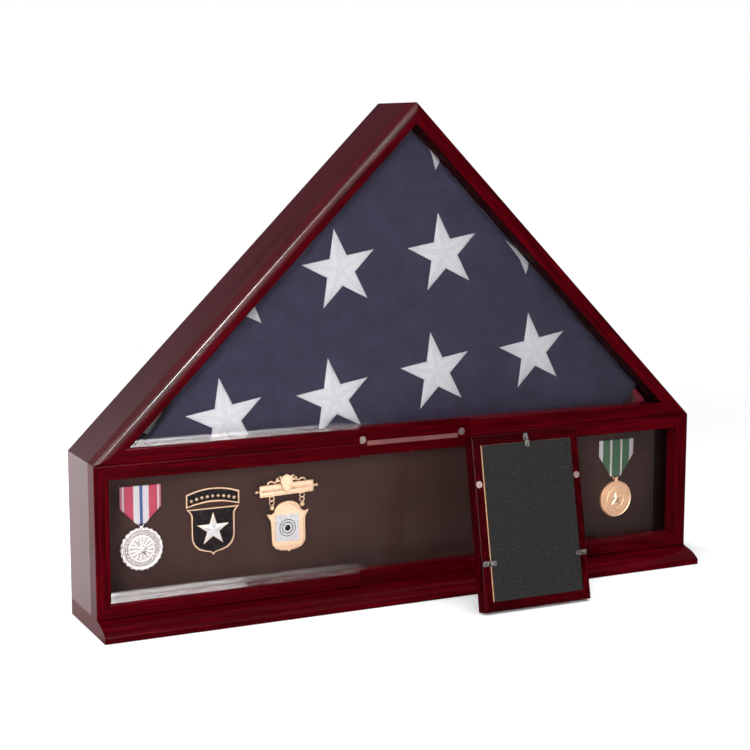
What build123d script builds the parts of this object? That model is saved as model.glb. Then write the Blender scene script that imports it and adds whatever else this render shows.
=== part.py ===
"""Folded flag display case with a medal window and a small picture frame that leans in front of it.

Units are millimetres, +Z is up, +X is the viewer's right and the windows face -Y.
The origin is on the resting plane, under the middle of the case.
"""
from build123d import *
from math import cos, radians, sin, sqrt
import os

os.makedirs("parts", exist_ok=True)

# ---------------------------------------------------------------- driving sizes of the case
case_width = 660.0           # outside width, side to side
case_depth = 87.0            # face to back edge, without the foot of the moulding
shoulder_height = 161.0      # where the upright sides meet the roof
base_thickness = 16.0        # base board
base_projection = 24.7       # base moulding in front of the face
nose_height = 5.9            # square front of the base moulding
reveal = 1.6                 # flat strip of the base in front of the face
reveal_step = 0.8            # drop from that strip to the moulding's curve
moulding_crown = 1.5         # how far the moulding's curve bulges
nose_rounding = 1.0

face_width = 14.3            # width of a face member
slope_extra = 0.3            # a sloping face member is this much wider, square to its length
face_depth = 20.0            # thickness of the face frame
rabbet_width = 5.0           # glass rabbet in the back of each face member
rabbet_depth = 3.0
face_rounding = 1.6          # rounded front arrises
slope_face_width = face_width + slope_extra
board = face_width - rabbet_width   # side, roof and shelf boards end flush with the rabbet

glass_thickness = 2.8
glass_clearance = 0.4
panel_thickness = 4.0        # removable back panels
panel_clearance = 0.6
panel_cleat = 7.0            # cleat that a back panel rests on
panel_cleat_depth = 5.0
glass_stop = 3.0             # small stop behind the flag glass
glass_stop_depth = 3.5
strip_gap = 0.4              # open joint between strips that meet in a corner

medal_board_setback = 45.0   # face of the case to the front of the medal board
medal_board_thickness = 5.0
medal_board_clearance = 0.5
lining = 1.6                 # dark lining between the medal glass and the board

notch_clearance = 1.75       # seat for the picture frame across the middle rails, each side
notch_depth = 7.5
notch_magnet_radius = 3.8
notch_magnet_rise = 1.2      # magnet centres above the shoulder
notch_magnet_thickness = 4.0
felt_thickness = 0.8
felt_height = 4.4
felt_end_gap = 1.2           # felt strip to the magnets

flag_gap = 0.6               # folded flag behind its glass stops
flag_side_gap = 2.0          # and inside the roof boards
flag_back_gap = 2.0          # and in front of the back cleats
flag_rounding = 8.0

# ---------------------------------------------------------------- turn buttons on the case's back
back_button_length = 24.0
back_button_width = 8.0
back_button_thickness = 1.2
back_button_gap = 0.3
back_button_reach = 8.0      # pivot to the button's middle
back_screw_radius = 1.5
back_screw_head_radius = 3.2
back_screw_head_height = 1.6
back_screw_depth = 12.0
pivot_clearance = 0.08
pilot_clearance = 0.05
head_gap = 0.2
screw_head_taper = 20        # degrees
roof_button_places = (0.24, 0.72)   # share of the way from shoulder to apex
shelf_button_x = 150.0
base_button_x = 190.0

# ---------------------------------------------------------------- picture frame
picture_board_width = 101.0
picture_board_height = 151.6
picture_board_thickness = 9.7
picture_board_proud = 2.0    # backing board stands out of the frame's back
picture_fit = 0.25
picture_stile = 9.5          # width seen from the back
picture_lip = 5.0            # extra width of the front lip
picture_lip_depth = 4.0
picture_depth = 14.0
picture_glass_thickness = 2.0
print_thickness = 0.3
picture_x = 87.5             # middle of the leaning frame
picture_stand_off = 56.3     # its resting edge in front of the base moulding
picture_lean = 10.85         # degrees, top towards the case
picture_rounding = 1.2
picture_magnet_radius = 3.4
picture_magnet_thickness = 3.0
picture_magnet_below_top = 47.0
frame_button_height = 47.0   # side turn buttons above the frame's bottom edge
frame_button_foot = 3.4
frame_button_ramp = (3.2, 4.3)
frame_button_reach = 10.2
frame_button_width = 5.0
frame_button_thickness = 0.8
frame_button_gap = 0.3
frame_button_corner = 1.5
frame_button_bend = 0.6      # the outer bends come this much before the inner ones
frame_screw_radius = 1.25
frame_screw_head_radius = 2.3
frame_screw_head_height = 1.2
frame_screw_depth = 7.0

# ---------------------------------------------------------------- medals and badges
ribbon_thickness = 2.6
brooch_thickness = 0.9
brooch_height = 5.0
medal_thickness = 2.6
ring_wire = 0.5
ring_clearance = 0.25
ribbon_fold = 0.8            # ribbon below the ring
lug_radius = 1.5
swing_gap = 0.8              # lug centre to the rim of the disc

# Heights of everything on the medal board are measured from the board's middle,
# and places across it from the case's side.
service_from_side = 57.3
service_ribbon = dict(width=41.0, top=43.8, shoulder=22.6, bottom=6.8, tip=9.5)
service_ring_radius = 2.4
service_disc_radius = 20.4
service_scallops = 24
service_scallop_radius = 2.6
service_scallop_inset = 1.82 # scallop centres inside the rim

bronze_from_side = 62.7
bronze_ribbon = dict(width=44.0, top=44.6, shoulder=27.2, bottom=4.0, tip=13.0)
bronze_ring_radius = 3.0
bronze_disc_radius = 19.8

shield_from_side = 130.4
shield_width = 55.0
shield_rise = 22.3           # top of the shield
shield_side_length = 20.5    # straight part of its sides
shield_height = 52.5
shield_bulge = 0.68          # share of its half width that is left half way down its curved sides
shield_bulge_drop = 2.5
shield_thickness = 1.4
shield_trim_height = 0.5
shield_trim_width = 1.6
tab_gap = 2.0                # shield to the arched tab above it
tab_height = 11.0
tab_rise = 4.5
device_radius = 12.0         # points of the star
device_waist = 4.8           # and its inner corners
device_drop = 25.0           # shield top to the middle of its star

marksman_from_side = 207.2
marksman_plate = 1.8
marksman_stand_off = 3.4     # board to the middle of the plates
marksman_bar_width = 58.0
marksman_bar_height = 12.0
marksman_bar_rise = 27.0     # middle of the bar
marksman_bar_corner = 1.5
marksman_knob = 3.4
marksman_crest_width = 14.5
marksman_crest_rise = 41.8
marksman_crest_dip = 1.5     # hollow in the middle of its top
marksman_ring_spacing = 32.4
marksman_ring_radius = 2.6
marksman_ring_hole = 1.1
marksman_tab = 1.8           # radius of the eye round each ring
marksman_tab_length = 2.8    # eye to the pendant
marksman_ring_rise = 15.5
pendant_width = 46.0
pendant_height = 48.5
pendant_drop = 4.2           # ring centres to the pendant's top edge
pendant_shoulder = 5.0
target_width = 25.0
target_height = 27.0
target_drop = 23.5           # pendant top to the middle of the target plate
target_thickness = 1.2
target_corner = 1.0

# ---------------------------------------------------------------- levels worked out from the sizes
half = case_width / 2
apex_height = shoulder_height + half
face_y = -case_depth / 2
carcass_y = face_y + face_depth
back_y = case_depth / 2
medal_board_y = face_y + medal_board_setback
panel_y = back_y - panel_thickness
cleat_y = panel_y - panel_cleat_depth
side_x = half - board
shelf_low = shoulder_height - board / 2
shelf_high = shoulder_height + board / 2
seat_y = face_y + notch_depth
sill_top = shoulder_height + face_width
nose_y = face_y - base_projection
board_middle = (base_thickness + shelf_low) / 2
service_x = service_from_side - half
bronze_x = half - bronze_from_side
shield_x = shield_from_side - half
marksman_x = marksman_from_side - half
picture_width = picture_board_width + 2 * (picture_fit + picture_stile)
picture_height = picture_board_height + 2 * (picture_fit + picture_stile)
magnet_spacing = picture_width - picture_stile
notch_width = picture_width + 2 * notch_clearance
notch_magnet_height = shoulder_height + notch_magnet_rise


PARALLEL = 0.999             # cosine of the angle at which an edge counts as lengthwise


def upright(y):
    """Plane across the case at depth y; a positive extrusion comes forwards."""
    return Plane.XZ.offset(-y)


def slope_x(z, inset):
    """Half width at height z of the roof outline moved in by inset."""
    return half - (z - shoulder_height) - inset * sqrt(2)


def roof_peak(inset):
    """Height of the roof outline's peak once moved in by inset."""
    return apex_height - inset * sqrt(2)


def gable(z, inset):
    """Triangle under the roof, its base at height z."""
    x = slope_x(z, inset)
    return [(-x, z), (x, z), (0, roof_peak(inset))]


def mirrored(points):
    """The same outline on the other side of the case."""
    return [(-x, z) for x, z in points]


def slab(points, y_front, y_back):
    """Flat piece with an outline across the case, between two depths."""
    with BuildPart() as piece:
        with BuildSketch(upright(y_back)):
            with BuildLine():
                Polyline(*points, close=True)
            make_face()
        extrude(amount=y_back - y_front)
    return piece.part


def bars(outlines, y_front, y_back):
    """Several flat pieces between the same two depths, kept as separate solids."""
    with BuildPart() as group:
        for outline in outlines:
            with BuildSketch(upright(y_back)):
                with BuildLine():
                    Polyline(*outline, close=True)
                make_face()
            extrude(amount=y_back - y_front)
    return group.part


def block(x0, x1, z0, z1):
    """Outline of a rectangle across the case."""
    return [(x0, z0), (x1, z0), (x1, z1), (x0, z1)]


def write(part, name):
    """Label a finished piece and write its STEP file."""
    part.label = name
    export_step(part, f"parts/{name}.step")


def mitred_member(plane, outer, inner, depth, step, rounding):
    """Mitred moulding whose back is narrower by a rabbet.

    outer and inner are the ends of its long edges in the plane's own coordinates, and the
    plane is at its back. step is (depth of the narrow back, share of the width left there).
    """
    (ax, ay), (bx, by) = outer
    (cx, cy), (dx, dy) = inner
    step_depth, share = step
    back_a = (ax + (cx - ax) * share, ay + (cy - ay) * share)
    back_b = (bx + (dx - bx) * share, by + (dy - by) * share)
    length = Vector(bx - ax, by - ay).normalized()
    along = plane.x_dir * length.X + plane.y_dir * length.Y
    with BuildPart() as member:
        with BuildSketch(plane):
            with BuildLine():
                Polyline(outer[0], outer[1], back_b, back_a, close=True)
            make_face()
        extrude(amount=step_depth)
        with BuildSketch(plane.offset(step_depth)):
            with BuildLine():
                Polyline(outer[0], outer[1], inner[1], inner[0], close=True)
            make_face()
        extrude(amount=depth - step_depth)
        front = member.faces().sort_by(Axis(plane.origin, plane.z_dir))[-1]
        arrises = [e for e in front.edges() if abs(e.tangent_at(0.5).dot(along)) > PARALLEL]
        fillet(arrises, radius=rounding)
    return member


# ================================================================ carcass
with BuildPart() as base_board:
    lip_y = face_y - reveal
    lip_z = base_thickness - reveal_step
    curve_middle = ((nose_y + lip_y) / 2 - moulding_crown / 2, (nose_height + lip_z) / 2 + moulding_crown)
    with BuildSketch(Plane.YZ.offset(-half)):
        with BuildLine():
            Polyline((nose_y, nose_height), (nose_y, 0), (back_y, 0), (back_y, base_thickness),
                     (lip_y, base_thickness), (lip_y, lip_z))
            ThreePointArc((lip_y, lip_z), curve_middle, (nose_y, nose_height))
        make_face()
    extrude(amount=case_width)
    nose_edges = base_board.edges().filter_by(Axis.X).filter_by(lambda e: e.center().Y < nose_y + 0.01)
    fillet(nose_edges, radius=nose_rounding)
    with Locations(*[Location(Plane((x, back_y, base_thickness / 2), z_dir=(0, 1, 0)))
                     for x in (-base_button_x, base_button_x)]):
        Hole(back_screw_radius + pilot_clearance, depth=back_screw_depth)
write(base_board.part, "base_board")

roof_inner_low = slope_x(0, board) - side_x       # height where side and roof meet inside
side_outline = [(-half, base_thickness), (-side_x, base_thickness), (-side_x, roof_inner_low),
                (-half, shoulder_height)]
write(slab(side_outline, carcass_y, back_y), "left_side_board")
write(slab(mirrored(side_outline), carcass_y, back_y), "right_side_board")

roof_outline = [(-half, shoulder_height), (-side_x, roof_inner_low), (0, roof_peak(board)), (0, apex_height)]
roof_middle_inset = board / 2
roof_screws = []
for share in roof_button_places:
    screw_z = shoulder_height + share * (roof_peak(roof_middle_inset) - shoulder_height)
    roof_screws.append((slope_x(screw_z, roof_middle_inset), screw_z))

for side, sign in (("left", -1), ("right", 1)):
    outline = roof_outline if sign < 0 else mirrored(roof_outline)
    with BuildPart() as roof_board:
        with BuildSketch(upright(back_y)):
            with BuildLine():
                Polyline(*outline, close=True)
            make_face()
        extrude(amount=back_y - carcass_y)
        with Locations(*[Location(Plane((sign * x, back_y, z), z_dir=(0, 1, 0))) for x, z in roof_screws]):
            Hole(back_screw_radius + pilot_clearance, depth=back_screw_depth)
    write(roof_board.part, f"{side}_roof_board")

shelf_end = slope_x(shelf_high, board)
with BuildPart() as middle_shelf:
    with BuildSketch(upright(back_y)):
        with BuildLine():
            Polyline((-side_x, shelf_low), (side_x, shelf_low), (side_x, roof_inner_low), (shelf_end, shelf_high),
                     (-shelf_end, shelf_high), (-side_x, roof_inner_low), close=True)
        make_face()
    extrude(amount=back_y - carcass_y)
    with Locations(*[Location(Plane((x, back_y, shoulder_height), z_dir=(0, 1, 0)))
                     for x in (-shelf_button_x, shelf_button_x)]):
        Hole(back_screw_radius + pilot_clearance, depth=back_screw_depth)
write(middle_shelf.part, "middle_shelf")

# ================================================================ face frame
rabbet = (rabbet_depth, board / face_width)
face_plane = upright(carcass_y)
sill_corner = slope_x(sill_top, slope_face_width)
window_x = half - face_width
rail_bottom = base_thickness + face_width
rail_under = shoulder_height - face_width

slope_outer = ((-half, shoulder_height), (0, apex_height))
slope_inner = ((-sill_corner, sill_top), (0, roof_peak(slope_face_width)))
left_slope = mitred_member(face_plane, slope_outer, slope_inner, face_depth, rabbet, face_rounding)
write(left_slope.part, "left_slope_rail")
right_slope = mitred_member(face_plane, mirrored(slope_outer), mirrored(slope_inner), face_depth, rabbet,
                            face_rounding)
write(right_slope.part, "right_slope_rail")

stile_outer = ((-half, base_thickness), (-half, shoulder_height))
stile_inner = ((-window_x, rail_bottom), (-window_x, rail_under))
left_stile = mitred_member(face_plane, stile_outer, stile_inner, face_depth, rabbet, face_rounding)
write(left_stile.part, "left_stile")
right_stile = mitred_member(face_plane, mirrored(stile_outer), mirrored(stile_inner), face_depth, rabbet,
                            face_rounding)
write(right_stile.part, "right_stile")

shoulder_line = ((-half, shoulder_height), (half, shoulder_height))
foot_line = ((-half, base_thickness), (half, base_thickness))
sill_inner = ((-sill_corner, sill_top), (sill_corner, sill_top))
top_rail_inner = ((-window_x, rail_under), (window_x, rail_under))
bottom_rail_inner = ((-window_x, rail_bottom), (window_x, rail_bottom))
magnet_places = [Location(Plane((x, seat_y, notch_magnet_height), z_dir=(0, -1, 0)))
                 for x in (-magnet_spacing / 2, magnet_spacing / 2)]

for name, outer, inner in (("flag_window_sill", shoulder_line, sill_inner),
                           ("medal_window_top_rail", shoulder_line, top_rail_inner),
                           ("medal_window_bottom_rail", foot_line, bottom_rail_inner)):
    blank = mitred_member(face_plane, outer, inner, face_depth, rabbet, face_rounding)
    with BuildPart() as rail:
        add(blank.part)
        with BuildSketch(upright(seat_y)):
            with Locations((0, shoulder_height)):
                Rectangle(notch_width, 2 * shoulder_height)
        extrude(amount=notch_depth, mode=Mode.SUBTRACT)
        if outer is shoulder_line:
            with Locations(*magnet_places):
                Hole(notch_magnet_radius + pilot_clearance, depth=notch_magnet_thickness)
    write(rail.part, name)

with BuildPart() as rail_magnets:
    for x in (-magnet_spacing / 2, magnet_spacing / 2):
        with BuildSketch(upright(seat_y + notch_magnet_thickness)):
            with Locations((x, notch_magnet_height)):
                Circle(notch_magnet_radius)
        extrude(amount=notch_magnet_thickness)
write(rail_magnets.part, "rail_magnets")

felt_x = magnet_spacing / 2 - notch_magnet_radius - felt_end_gap
felt_outline = block(-felt_x, felt_x, shoulder_height - felt_height, shoulder_height)
write(slab(felt_outline, seat_y - felt_thickness, seat_y), "rail_felt_strip")

# ================================================================ glass, stops, lining and back panels
glass_y = carcass_y - rabbet_depth
flag_glass_low = shoulder_height + board + glass_clearance
slope_rabbet = slope_face_width * board / face_width
flag_glass = gable(flag_glass_low, slope_rabbet + glass_clearance)
write(slab(flag_glass, glass_y, glass_y + glass_thickness), "flag_window_glass")

medal_glass_x = side_x - glass_clearance
medal_glass = block(-medal_glass_x, medal_glass_x, base_thickness + board + glass_clearance,
                    shoulder_height - board - glass_clearance)
write(slab(medal_glass, glass_y, glass_y + glass_thickness), "medal_window_glass")


def gable_strips(width, base_z):
    """Strips round the inside of the flag compartment: two up the roof, one along the shelf."""
    shelf_top = base_z + width
    foot = shelf_top + strip_gap
    peak_x = strip_gap / 2
    roof_strip = [(-slope_x(foot, board), foot), (-slope_x(foot, board + width), foot),
                  (-peak_x, roof_peak(board + width) - peak_x), (-peak_x, roof_peak(board) - peak_x)]
    shelf_strip = [(-slope_x(base_z, board), base_z), (slope_x(base_z, board), base_z),
                   (slope_x(shelf_top, board), shelf_top), (-slope_x(shelf_top, board), shelf_top)]
    return [roof_strip, mirrored(roof_strip), shelf_strip]


def box_strips(width):
    """Strips round the inside of the medal compartment."""
    low = base_thickness
    reach = side_x - width - strip_gap
    return [block(-side_x, -side_x + width, low, shelf_low), block(side_x - width, side_x, low, shelf_low),
            block(-reach, reach, low, low + width), block(-reach, reach, shelf_low - width, shelf_low)]


stop_y = carcass_y + glass_stop_depth
write(bars(gable_strips(glass_stop, shelf_high), carcass_y, stop_y), "flag_glass_stops")
write(bars(gable_strips(panel_cleat, shelf_high), cleat_y, panel_y), "flag_back_cleats")
write(bars(box_strips(lining), carcass_y, medal_board_y), "compartment_lining")
spacer_y = medal_board_y + medal_board_thickness
write(bars(box_strips(panel_cleat), spacer_y, panel_y), "medal_board_spacers")

medal_board_x = side_x - medal_board_clearance
medal_board = block(-medal_board_x, medal_board_x, base_thickness + medal_board_clearance,
                    shelf_low - medal_board_clearance)
write(slab(medal_board, medal_board_y, spacer_y), "medal_board")

flag_panel = gable(shelf_high + panel_clearance, board + panel_clearance)
write(slab(flag_panel, panel_y, back_y), "flag_back_panel")
medal_panel_x = side_x - panel_clearance
medal_panel = block(-medal_panel_x, medal_panel_x, base_thickness + panel_clearance,
                    shelf_low - panel_clearance)
write(slab(medal_panel, panel_y, back_y), "medal_back_panel")

# ================================================================ folded flag
flag_y = stop_y + flag_gap
flag_depth = cleat_y - flag_back_gap - flag_y
with BuildPart() as folded_flag:
    with BuildSketch(upright(flag_y + flag_depth)) as flag_outline:
        with BuildLine():
            Polyline(*gable(shelf_high, board + flag_side_gap), close=True)
        make_face()
        fillet(flag_outline.vertices(), radius=flag_rounding)
    extrude(amount=flag_depth)
    fillet(folded_flag.faces().sort_by(Axis.Y)[0].edges(), radius=flag_rounding / 2)
write(folded_flag.part, "folded_flag")

# ================================================================ turn buttons on the back
button_y = back_y + back_button_gap
# name, pivot x, pivot z, direction of the button's long end in degrees, pivot to middle
back_buttons = []
for place, (x, z) in zip(("low", "high"), roof_screws):
    back_buttons.append((f"left_roof_button_{place}", -x, z, -45, back_button_reach))
    back_buttons.append((f"right_roof_button_{place}", x, z, -135, back_button_reach))
for side, sign in (("left", -1), ("right", 1)):
    back_buttons.append((f"{side}_shelf_button", sign * shelf_button_x, shoulder_height, 90, 0))
    back_buttons.append((f"{side}_base_button", sign * base_button_x, base_thickness / 2, 90, back_button_reach))

for name, x, z, angle, reach in back_buttons:
    direction = (cos(radians(angle)), 0, sin(radians(angle)))
    pivot_plane = Plane((x, button_y, z), x_dir=direction, z_dir=(0, 1, 0))
    with BuildPart() as button:
        with BuildSketch(pivot_plane):
            with Locations((reach, 0)):
                SlotOverall(back_button_length, back_button_width)
            Circle(back_screw_radius + pivot_clearance, mode=Mode.SUBTRACT)
        extrude(amount=back_button_thickness)
    write(button.part, name)

head_y = button_y + back_button_thickness + head_gap
with BuildPart() as case_button_screws:
    for name, x, z, angle, reach in back_buttons:
        with BuildSketch(Plane((x, back_y - back_screw_depth, z), z_dir=(0, 1, 0))):
            Circle(back_screw_radius)
        extrude(amount=head_y - back_y + back_screw_depth)
        with BuildSketch(Plane((x, head_y, z), z_dir=(0, 1, 0))):
            Circle(back_screw_head_radius)
        extrude(amount=back_screw_head_height, taper=screw_head_taper)
write(case_button_screws.part, "case_button_screws")

# ================================================================ picture frame
lean = radians(picture_lean)
picture_y = nose_y - picture_stand_off
# local X runs across the frame, local Y up it, local Z out of its back towards the viewer
picture_plane = Plane((picture_x - picture_width / 2, picture_y, 0), x_dir=(1, 0, 0),
                      z_dir=(0, -cos(lean), sin(lean)))


def picture_member(corners, inner_corners):
    """One mitred side of the picture frame, its lip at the front and its rebate open to the back."""
    narrow = picture_stile / (picture_stile + picture_lip)
    (ax, ay), (bx, by) = corners
    (cx, cy), (dx, dy) = inner_corners
    back_corners = [(ax, ay), (bx, by), (bx + (dx - bx) * narrow, by + (dy - by) * narrow),
                    (ax + (cx - ax) * narrow, ay + (cy - ay) * narrow)]
    lip_corners = [(ax, ay), (bx, by), (dx, dy), (cx, cy)]
    length = Vector(bx - ax, by - ay).normalized()
    along = picture_plane.x_dir * length.X + picture_plane.y_dir * length.Y
    with BuildPart() as member:
        with BuildSketch(picture_plane):
            with BuildLine():
                Polyline(*lip_corners, close=True)
            make_face()
        extrude(amount=picture_lip_depth)
        with BuildSketch(picture_plane.offset(picture_lip_depth)):
            with BuildLine():
                Polyline(*back_corners, close=True)
            make_face()
        extrude(amount=picture_depth - picture_lip_depth)
        outer_middle = picture_plane.from_local_coords(((ax + bx) / 2, (ay + by) / 2, picture_depth / 2))
        outer_face = member.faces().sort_by_distance(outer_middle)[0]
        arrises = [e for e in outer_face.edges() if abs(e.tangent_at(0.5).dot(along)) > PARALLEL]
        fillet(arrises, radius=picture_rounding)
    return member


wide = picture_stile + picture_lip
right = picture_width
top = picture_height
frame_sides = {
    "bottom": (((0, 0), (right, 0)), ((wide, wide), (right - wide, wide))),
    "top": (((0, top), (right, top)), ((wide, top - wide), (right - wide, top - wide))),
    "left": (((0, 0), (0, top)), ((wide, wide), (wide, top - wide))),
    "right": (((right, 0), (right, top)), ((right - wide, wide), (right - wide, top - wide))),
}
button_inset = picture_stile / 2
# local place of each screw and the direction its turn button points
frame_buttons = {
    "top": ((right / 2, top - button_inset), (0, -1)),
    "left": ((button_inset, frame_button_height), (1, 0)),
    "right": ((right - button_inset, frame_button_height), (-1, 0)),
}
magnet_height = top - picture_magnet_below_top
picture_magnets_at = [(button_inset, magnet_height), (right - button_inset, magnet_height)]
back_plane = picture_plane.offset(picture_depth)

for side, (corners, inner_corners) in frame_sides.items():
    blank = picture_member(corners, inner_corners)
    with BuildPart() as member:
        add(blank.part)
        if side in frame_buttons:
            with BuildSketch(back_plane):
                with Locations(frame_buttons[side][0]):
                    Circle(frame_screw_radius + pilot_clearance)
            extrude(amount=-frame_screw_depth, mode=Mode.SUBTRACT)
        if side in ("left", "right"):
            with BuildSketch(back_plane):
                with Locations(picture_magnets_at[0] if side == "left" else picture_magnets_at[1]):
                    Circle(picture_magnet_radius + pilot_clearance)
            extrude(amount=-picture_magnet_thickness, mode=Mode.SUBTRACT)
    write(member.part, f"picture_frame_{side}")

with BuildPart() as picture_magnets:
    with BuildSketch(back_plane):
        with Locations(*picture_magnets_at):
            Circle(picture_magnet_radius)
    extrude(amount=-picture_magnet_thickness)
write(picture_magnets.part, "picture_magnets")

rebate = picture_stile + picture_fit
board_z = picture_depth + picture_board_proud - picture_board_thickness
for name, low, thickness in (("picture_backing_board", board_z, picture_board_thickness),
                             ("picture_print", board_z - print_thickness, print_thickness),
                             ("picture_glass", picture_lip_depth, picture_glass_thickness)):
    with BuildPart() as layer:
        with BuildSketch(picture_plane.offset(low)):
            with Locations((rebate, rebate)):
                Rectangle(picture_board_width, picture_board_height, align=(Align.MIN, Align.MIN))
        extrude(amount=thickness)
    write(layer.part, name)

ramp_start, ramp_end = frame_button_ramp
foot_top = frame_button_gap + frame_button_thickness
tip_low = picture_board_proud + frame_button_gap
tip_top = tip_low + frame_button_thickness
for side, (place, (dx, dy)) in frame_buttons.items():
    direction = picture_plane.x_dir * dx + picture_plane.y_dir * dy
    pivot = Plane(back_plane.from_local_coords((*place, 0)), x_dir=direction, z_dir=back_plane.z_dir)
    side_plane = Plane(pivot.origin, x_dir=direction, z_dir=-pivot.y_dir)
    with BuildPart() as frame_button:
        with BuildSketch(side_plane):
            with BuildLine():
                Polyline((-frame_button_foot, frame_button_gap), (ramp_start, frame_button_gap),
                         (ramp_end, tip_low), (frame_button_reach, tip_low), (frame_button_reach, tip_top),
                         (ramp_end - frame_button_bend, tip_top),
                         (ramp_start - frame_button_bend, foot_top),
                         (-frame_button_foot, foot_top), close=True)
            make_face()
        extrude(amount=frame_button_width / 2, both=True)
        corners = frame_button.edges().filter_by(lambda e: abs(e.tangent_at(0.5).dot(pivot.z_dir)) > PARALLEL)
        fillet(corners, radius=frame_button_corner)
        with BuildSketch(pivot):
            Circle(frame_screw_radius + pivot_clearance)
        extrude(amount=tip_top, mode=Mode.SUBTRACT)
    write(frame_button.part, f"picture_turn_button_{side}")

screw_head_z = foot_top + head_gap
with BuildPart() as picture_button_screws:
    for place, direction in frame_buttons.values():
        with BuildSketch(back_plane.offset(-frame_screw_depth)):
            with Locations(place):
                Circle(frame_screw_radius)
        extrude(amount=frame_screw_depth + screw_head_z)
        with BuildSketch(back_plane.offset(screw_head_z)):
            with Locations(place):
                Circle(frame_screw_head_radius)
        extrude(amount=frame_screw_head_height, taper=screw_head_taper)
write(picture_button_screws.part, "picture_button_screws")

# ================================================================ hanging medals
ribbon_y = medal_board_y - brooch_thickness - ribbon_thickness / 2


def hanging_medal(name, x, ribbon, ring_radius, disc_radius, scallops):
    """A ribbon, the jump ring through its fold, and the disc whose lug hangs on the ring."""
    ribbon_top = board_middle + ribbon["top"]
    ribbon_shoulder = board_middle + ribbon["shoulder"]
    ribbon_bottom = board_middle + ribbon["bottom"]
    ring_z = ribbon_bottom + ribbon_fold + ring_clearance + ring_wire - ring_radius
    ring_plane = Plane((x, ribbon_y, ring_z), z_dir=(0, -1, 0))
    lug_z = ring_z - ring_radius
    disc_z = lug_z - swing_gap - disc_radius
    with BuildPart() as strip:
        with BuildSketch(upright(ribbon_y + ribbon_thickness / 2)):
            with BuildLine():
                w, t = ribbon["width"] / 2, ribbon["tip"] / 2
                Polyline((x - w, ribbon_top), (x + w, ribbon_top), (x + w, ribbon_shoulder),
                         (x + t, ribbon_bottom), (x - t, ribbon_bottom), (x - w, ribbon_shoulder), close=True)
            make_face()
        extrude(amount=ribbon_thickness)
        with Locations(Location(ring_plane)):
            Torus(ring_radius, ring_wire + ring_clearance, mode=Mode.SUBTRACT)
    write(strip.part, f"{name}_ribbon")
    with BuildPart(ring_plane) as ring:
        Torus(ring_radius, ring_wire)
    write(ring.part, f"{name}_ring")
    with BuildPart() as disc:
        with BuildSketch(upright(ribbon_y + medal_thickness / 2)):
            with Locations((x, disc_z)):
                Circle(disc_radius)
                if scallops:
                    with PolarLocations(disc_radius - service_scallop_inset, scallops):
                        Circle(service_scallop_radius)
            with Locations((x, lug_z)):
                Circle(lug_radius)
        extrude(amount=medal_thickness)
        with Locations(Location(ring_plane)):
            Torus(ring_radius, ring_wire + ring_clearance / 2, mode=Mode.SUBTRACT)
    write(disc.part, f"{name}_disc")


hanging_medal("service_medal", service_x, service_ribbon, service_ring_radius, service_disc_radius, service_scallops)
hanging_medal("bronze_medal", bronze_x, bronze_ribbon, bronze_ring_radius, bronze_disc_radius, 0)

brooch_outlines = []
for x, ribbon in ((service_x, service_ribbon), (bronze_x, bronze_ribbon)):
    brooch_half = ribbon["width"] / 2 - brooch_height / 2
    brooch_top = board_middle + ribbon["top"] - brooch_height / 2
    brooch_outlines.append(block(x - brooch_half, x + brooch_half, brooch_top - brooch_height, brooch_top))
write(bars(brooch_outlines, medal_board_y - brooch_thickness, medal_board_y), "medal_brooches")

# ================================================================ shield badge
shield_front = medal_board_y - shield_thickness
shield_side = shield_width / 2
shield_top = board_middle + shield_rise
shield_side_end = shield_top - shield_side_length
shield_tip = shield_top - shield_height
tab_bottom = shield_top + tab_gap
tab_top = tab_bottom + tab_height
bulge_z = (shield_side_end + shield_tip) / 2 - shield_bulge_drop
with BuildPart() as shield_badge:
    with BuildSketch(upright(medal_board_y)) as shield_outline:
        with BuildLine():
            Polyline((shield_x - shield_side, shield_side_end), (shield_x - shield_side, shield_top),
                     (shield_x + shield_side, shield_top), (shield_x + shield_side, shield_side_end))
            ThreePointArc((shield_x + shield_side, shield_side_end),
                          (shield_x + shield_side * shield_bulge, bulge_z),
                          (shield_x, shield_tip))
            ThreePointArc((shield_x, shield_tip),
                          (shield_x - shield_side * shield_bulge, bulge_z),
                          (shield_x - shield_side, shield_side_end))
        make_face()
    extrude(amount=shield_thickness)
    with BuildSketch(upright(medal_board_y)) as tab_outline:
        with BuildLine():
            tab_low = ThreePointArc((shield_x - shield_side, tab_bottom), (shield_x, tab_bottom + tab_rise),
                                    (shield_x + shield_side, tab_bottom))
            tab_high = ThreePointArc((shield_x - shield_side, tab_top), (shield_x, tab_top + tab_rise),
                                     (shield_x + shield_side, tab_top))
            Line(tab_low @ 0, tab_high @ 0)
            Line(tab_low @ 1, tab_high @ 1)
        make_face()
    extrude(amount=shield_thickness)
write(shield_badge.part, "shield_badge")

with BuildPart() as shield_badge_trim:
    for outline in (shield_outline, tab_outline):
        with BuildSketch(upright(shield_front)) as rim:
            add(outline.sketch_local)
            offset(outline.sketch_local, amount=-shield_trim_width, mode=Mode.SUBTRACT)
        extrude(amount=shield_trim_height)
    with BuildSketch(upright(shield_front)):
        with Locations((shield_x, shield_top - device_drop)):
            star = [(r * cos(radians(90 + 36 * i)), r * sin(radians(90 + 36 * i)))
                    for i, r in enumerate([device_radius, device_waist] * 5)]
            Polygon(*star, align=None)
    extrude(amount=shield_trim_height)
write(shield_badge_trim.part, "shield_badge_trim")

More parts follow.
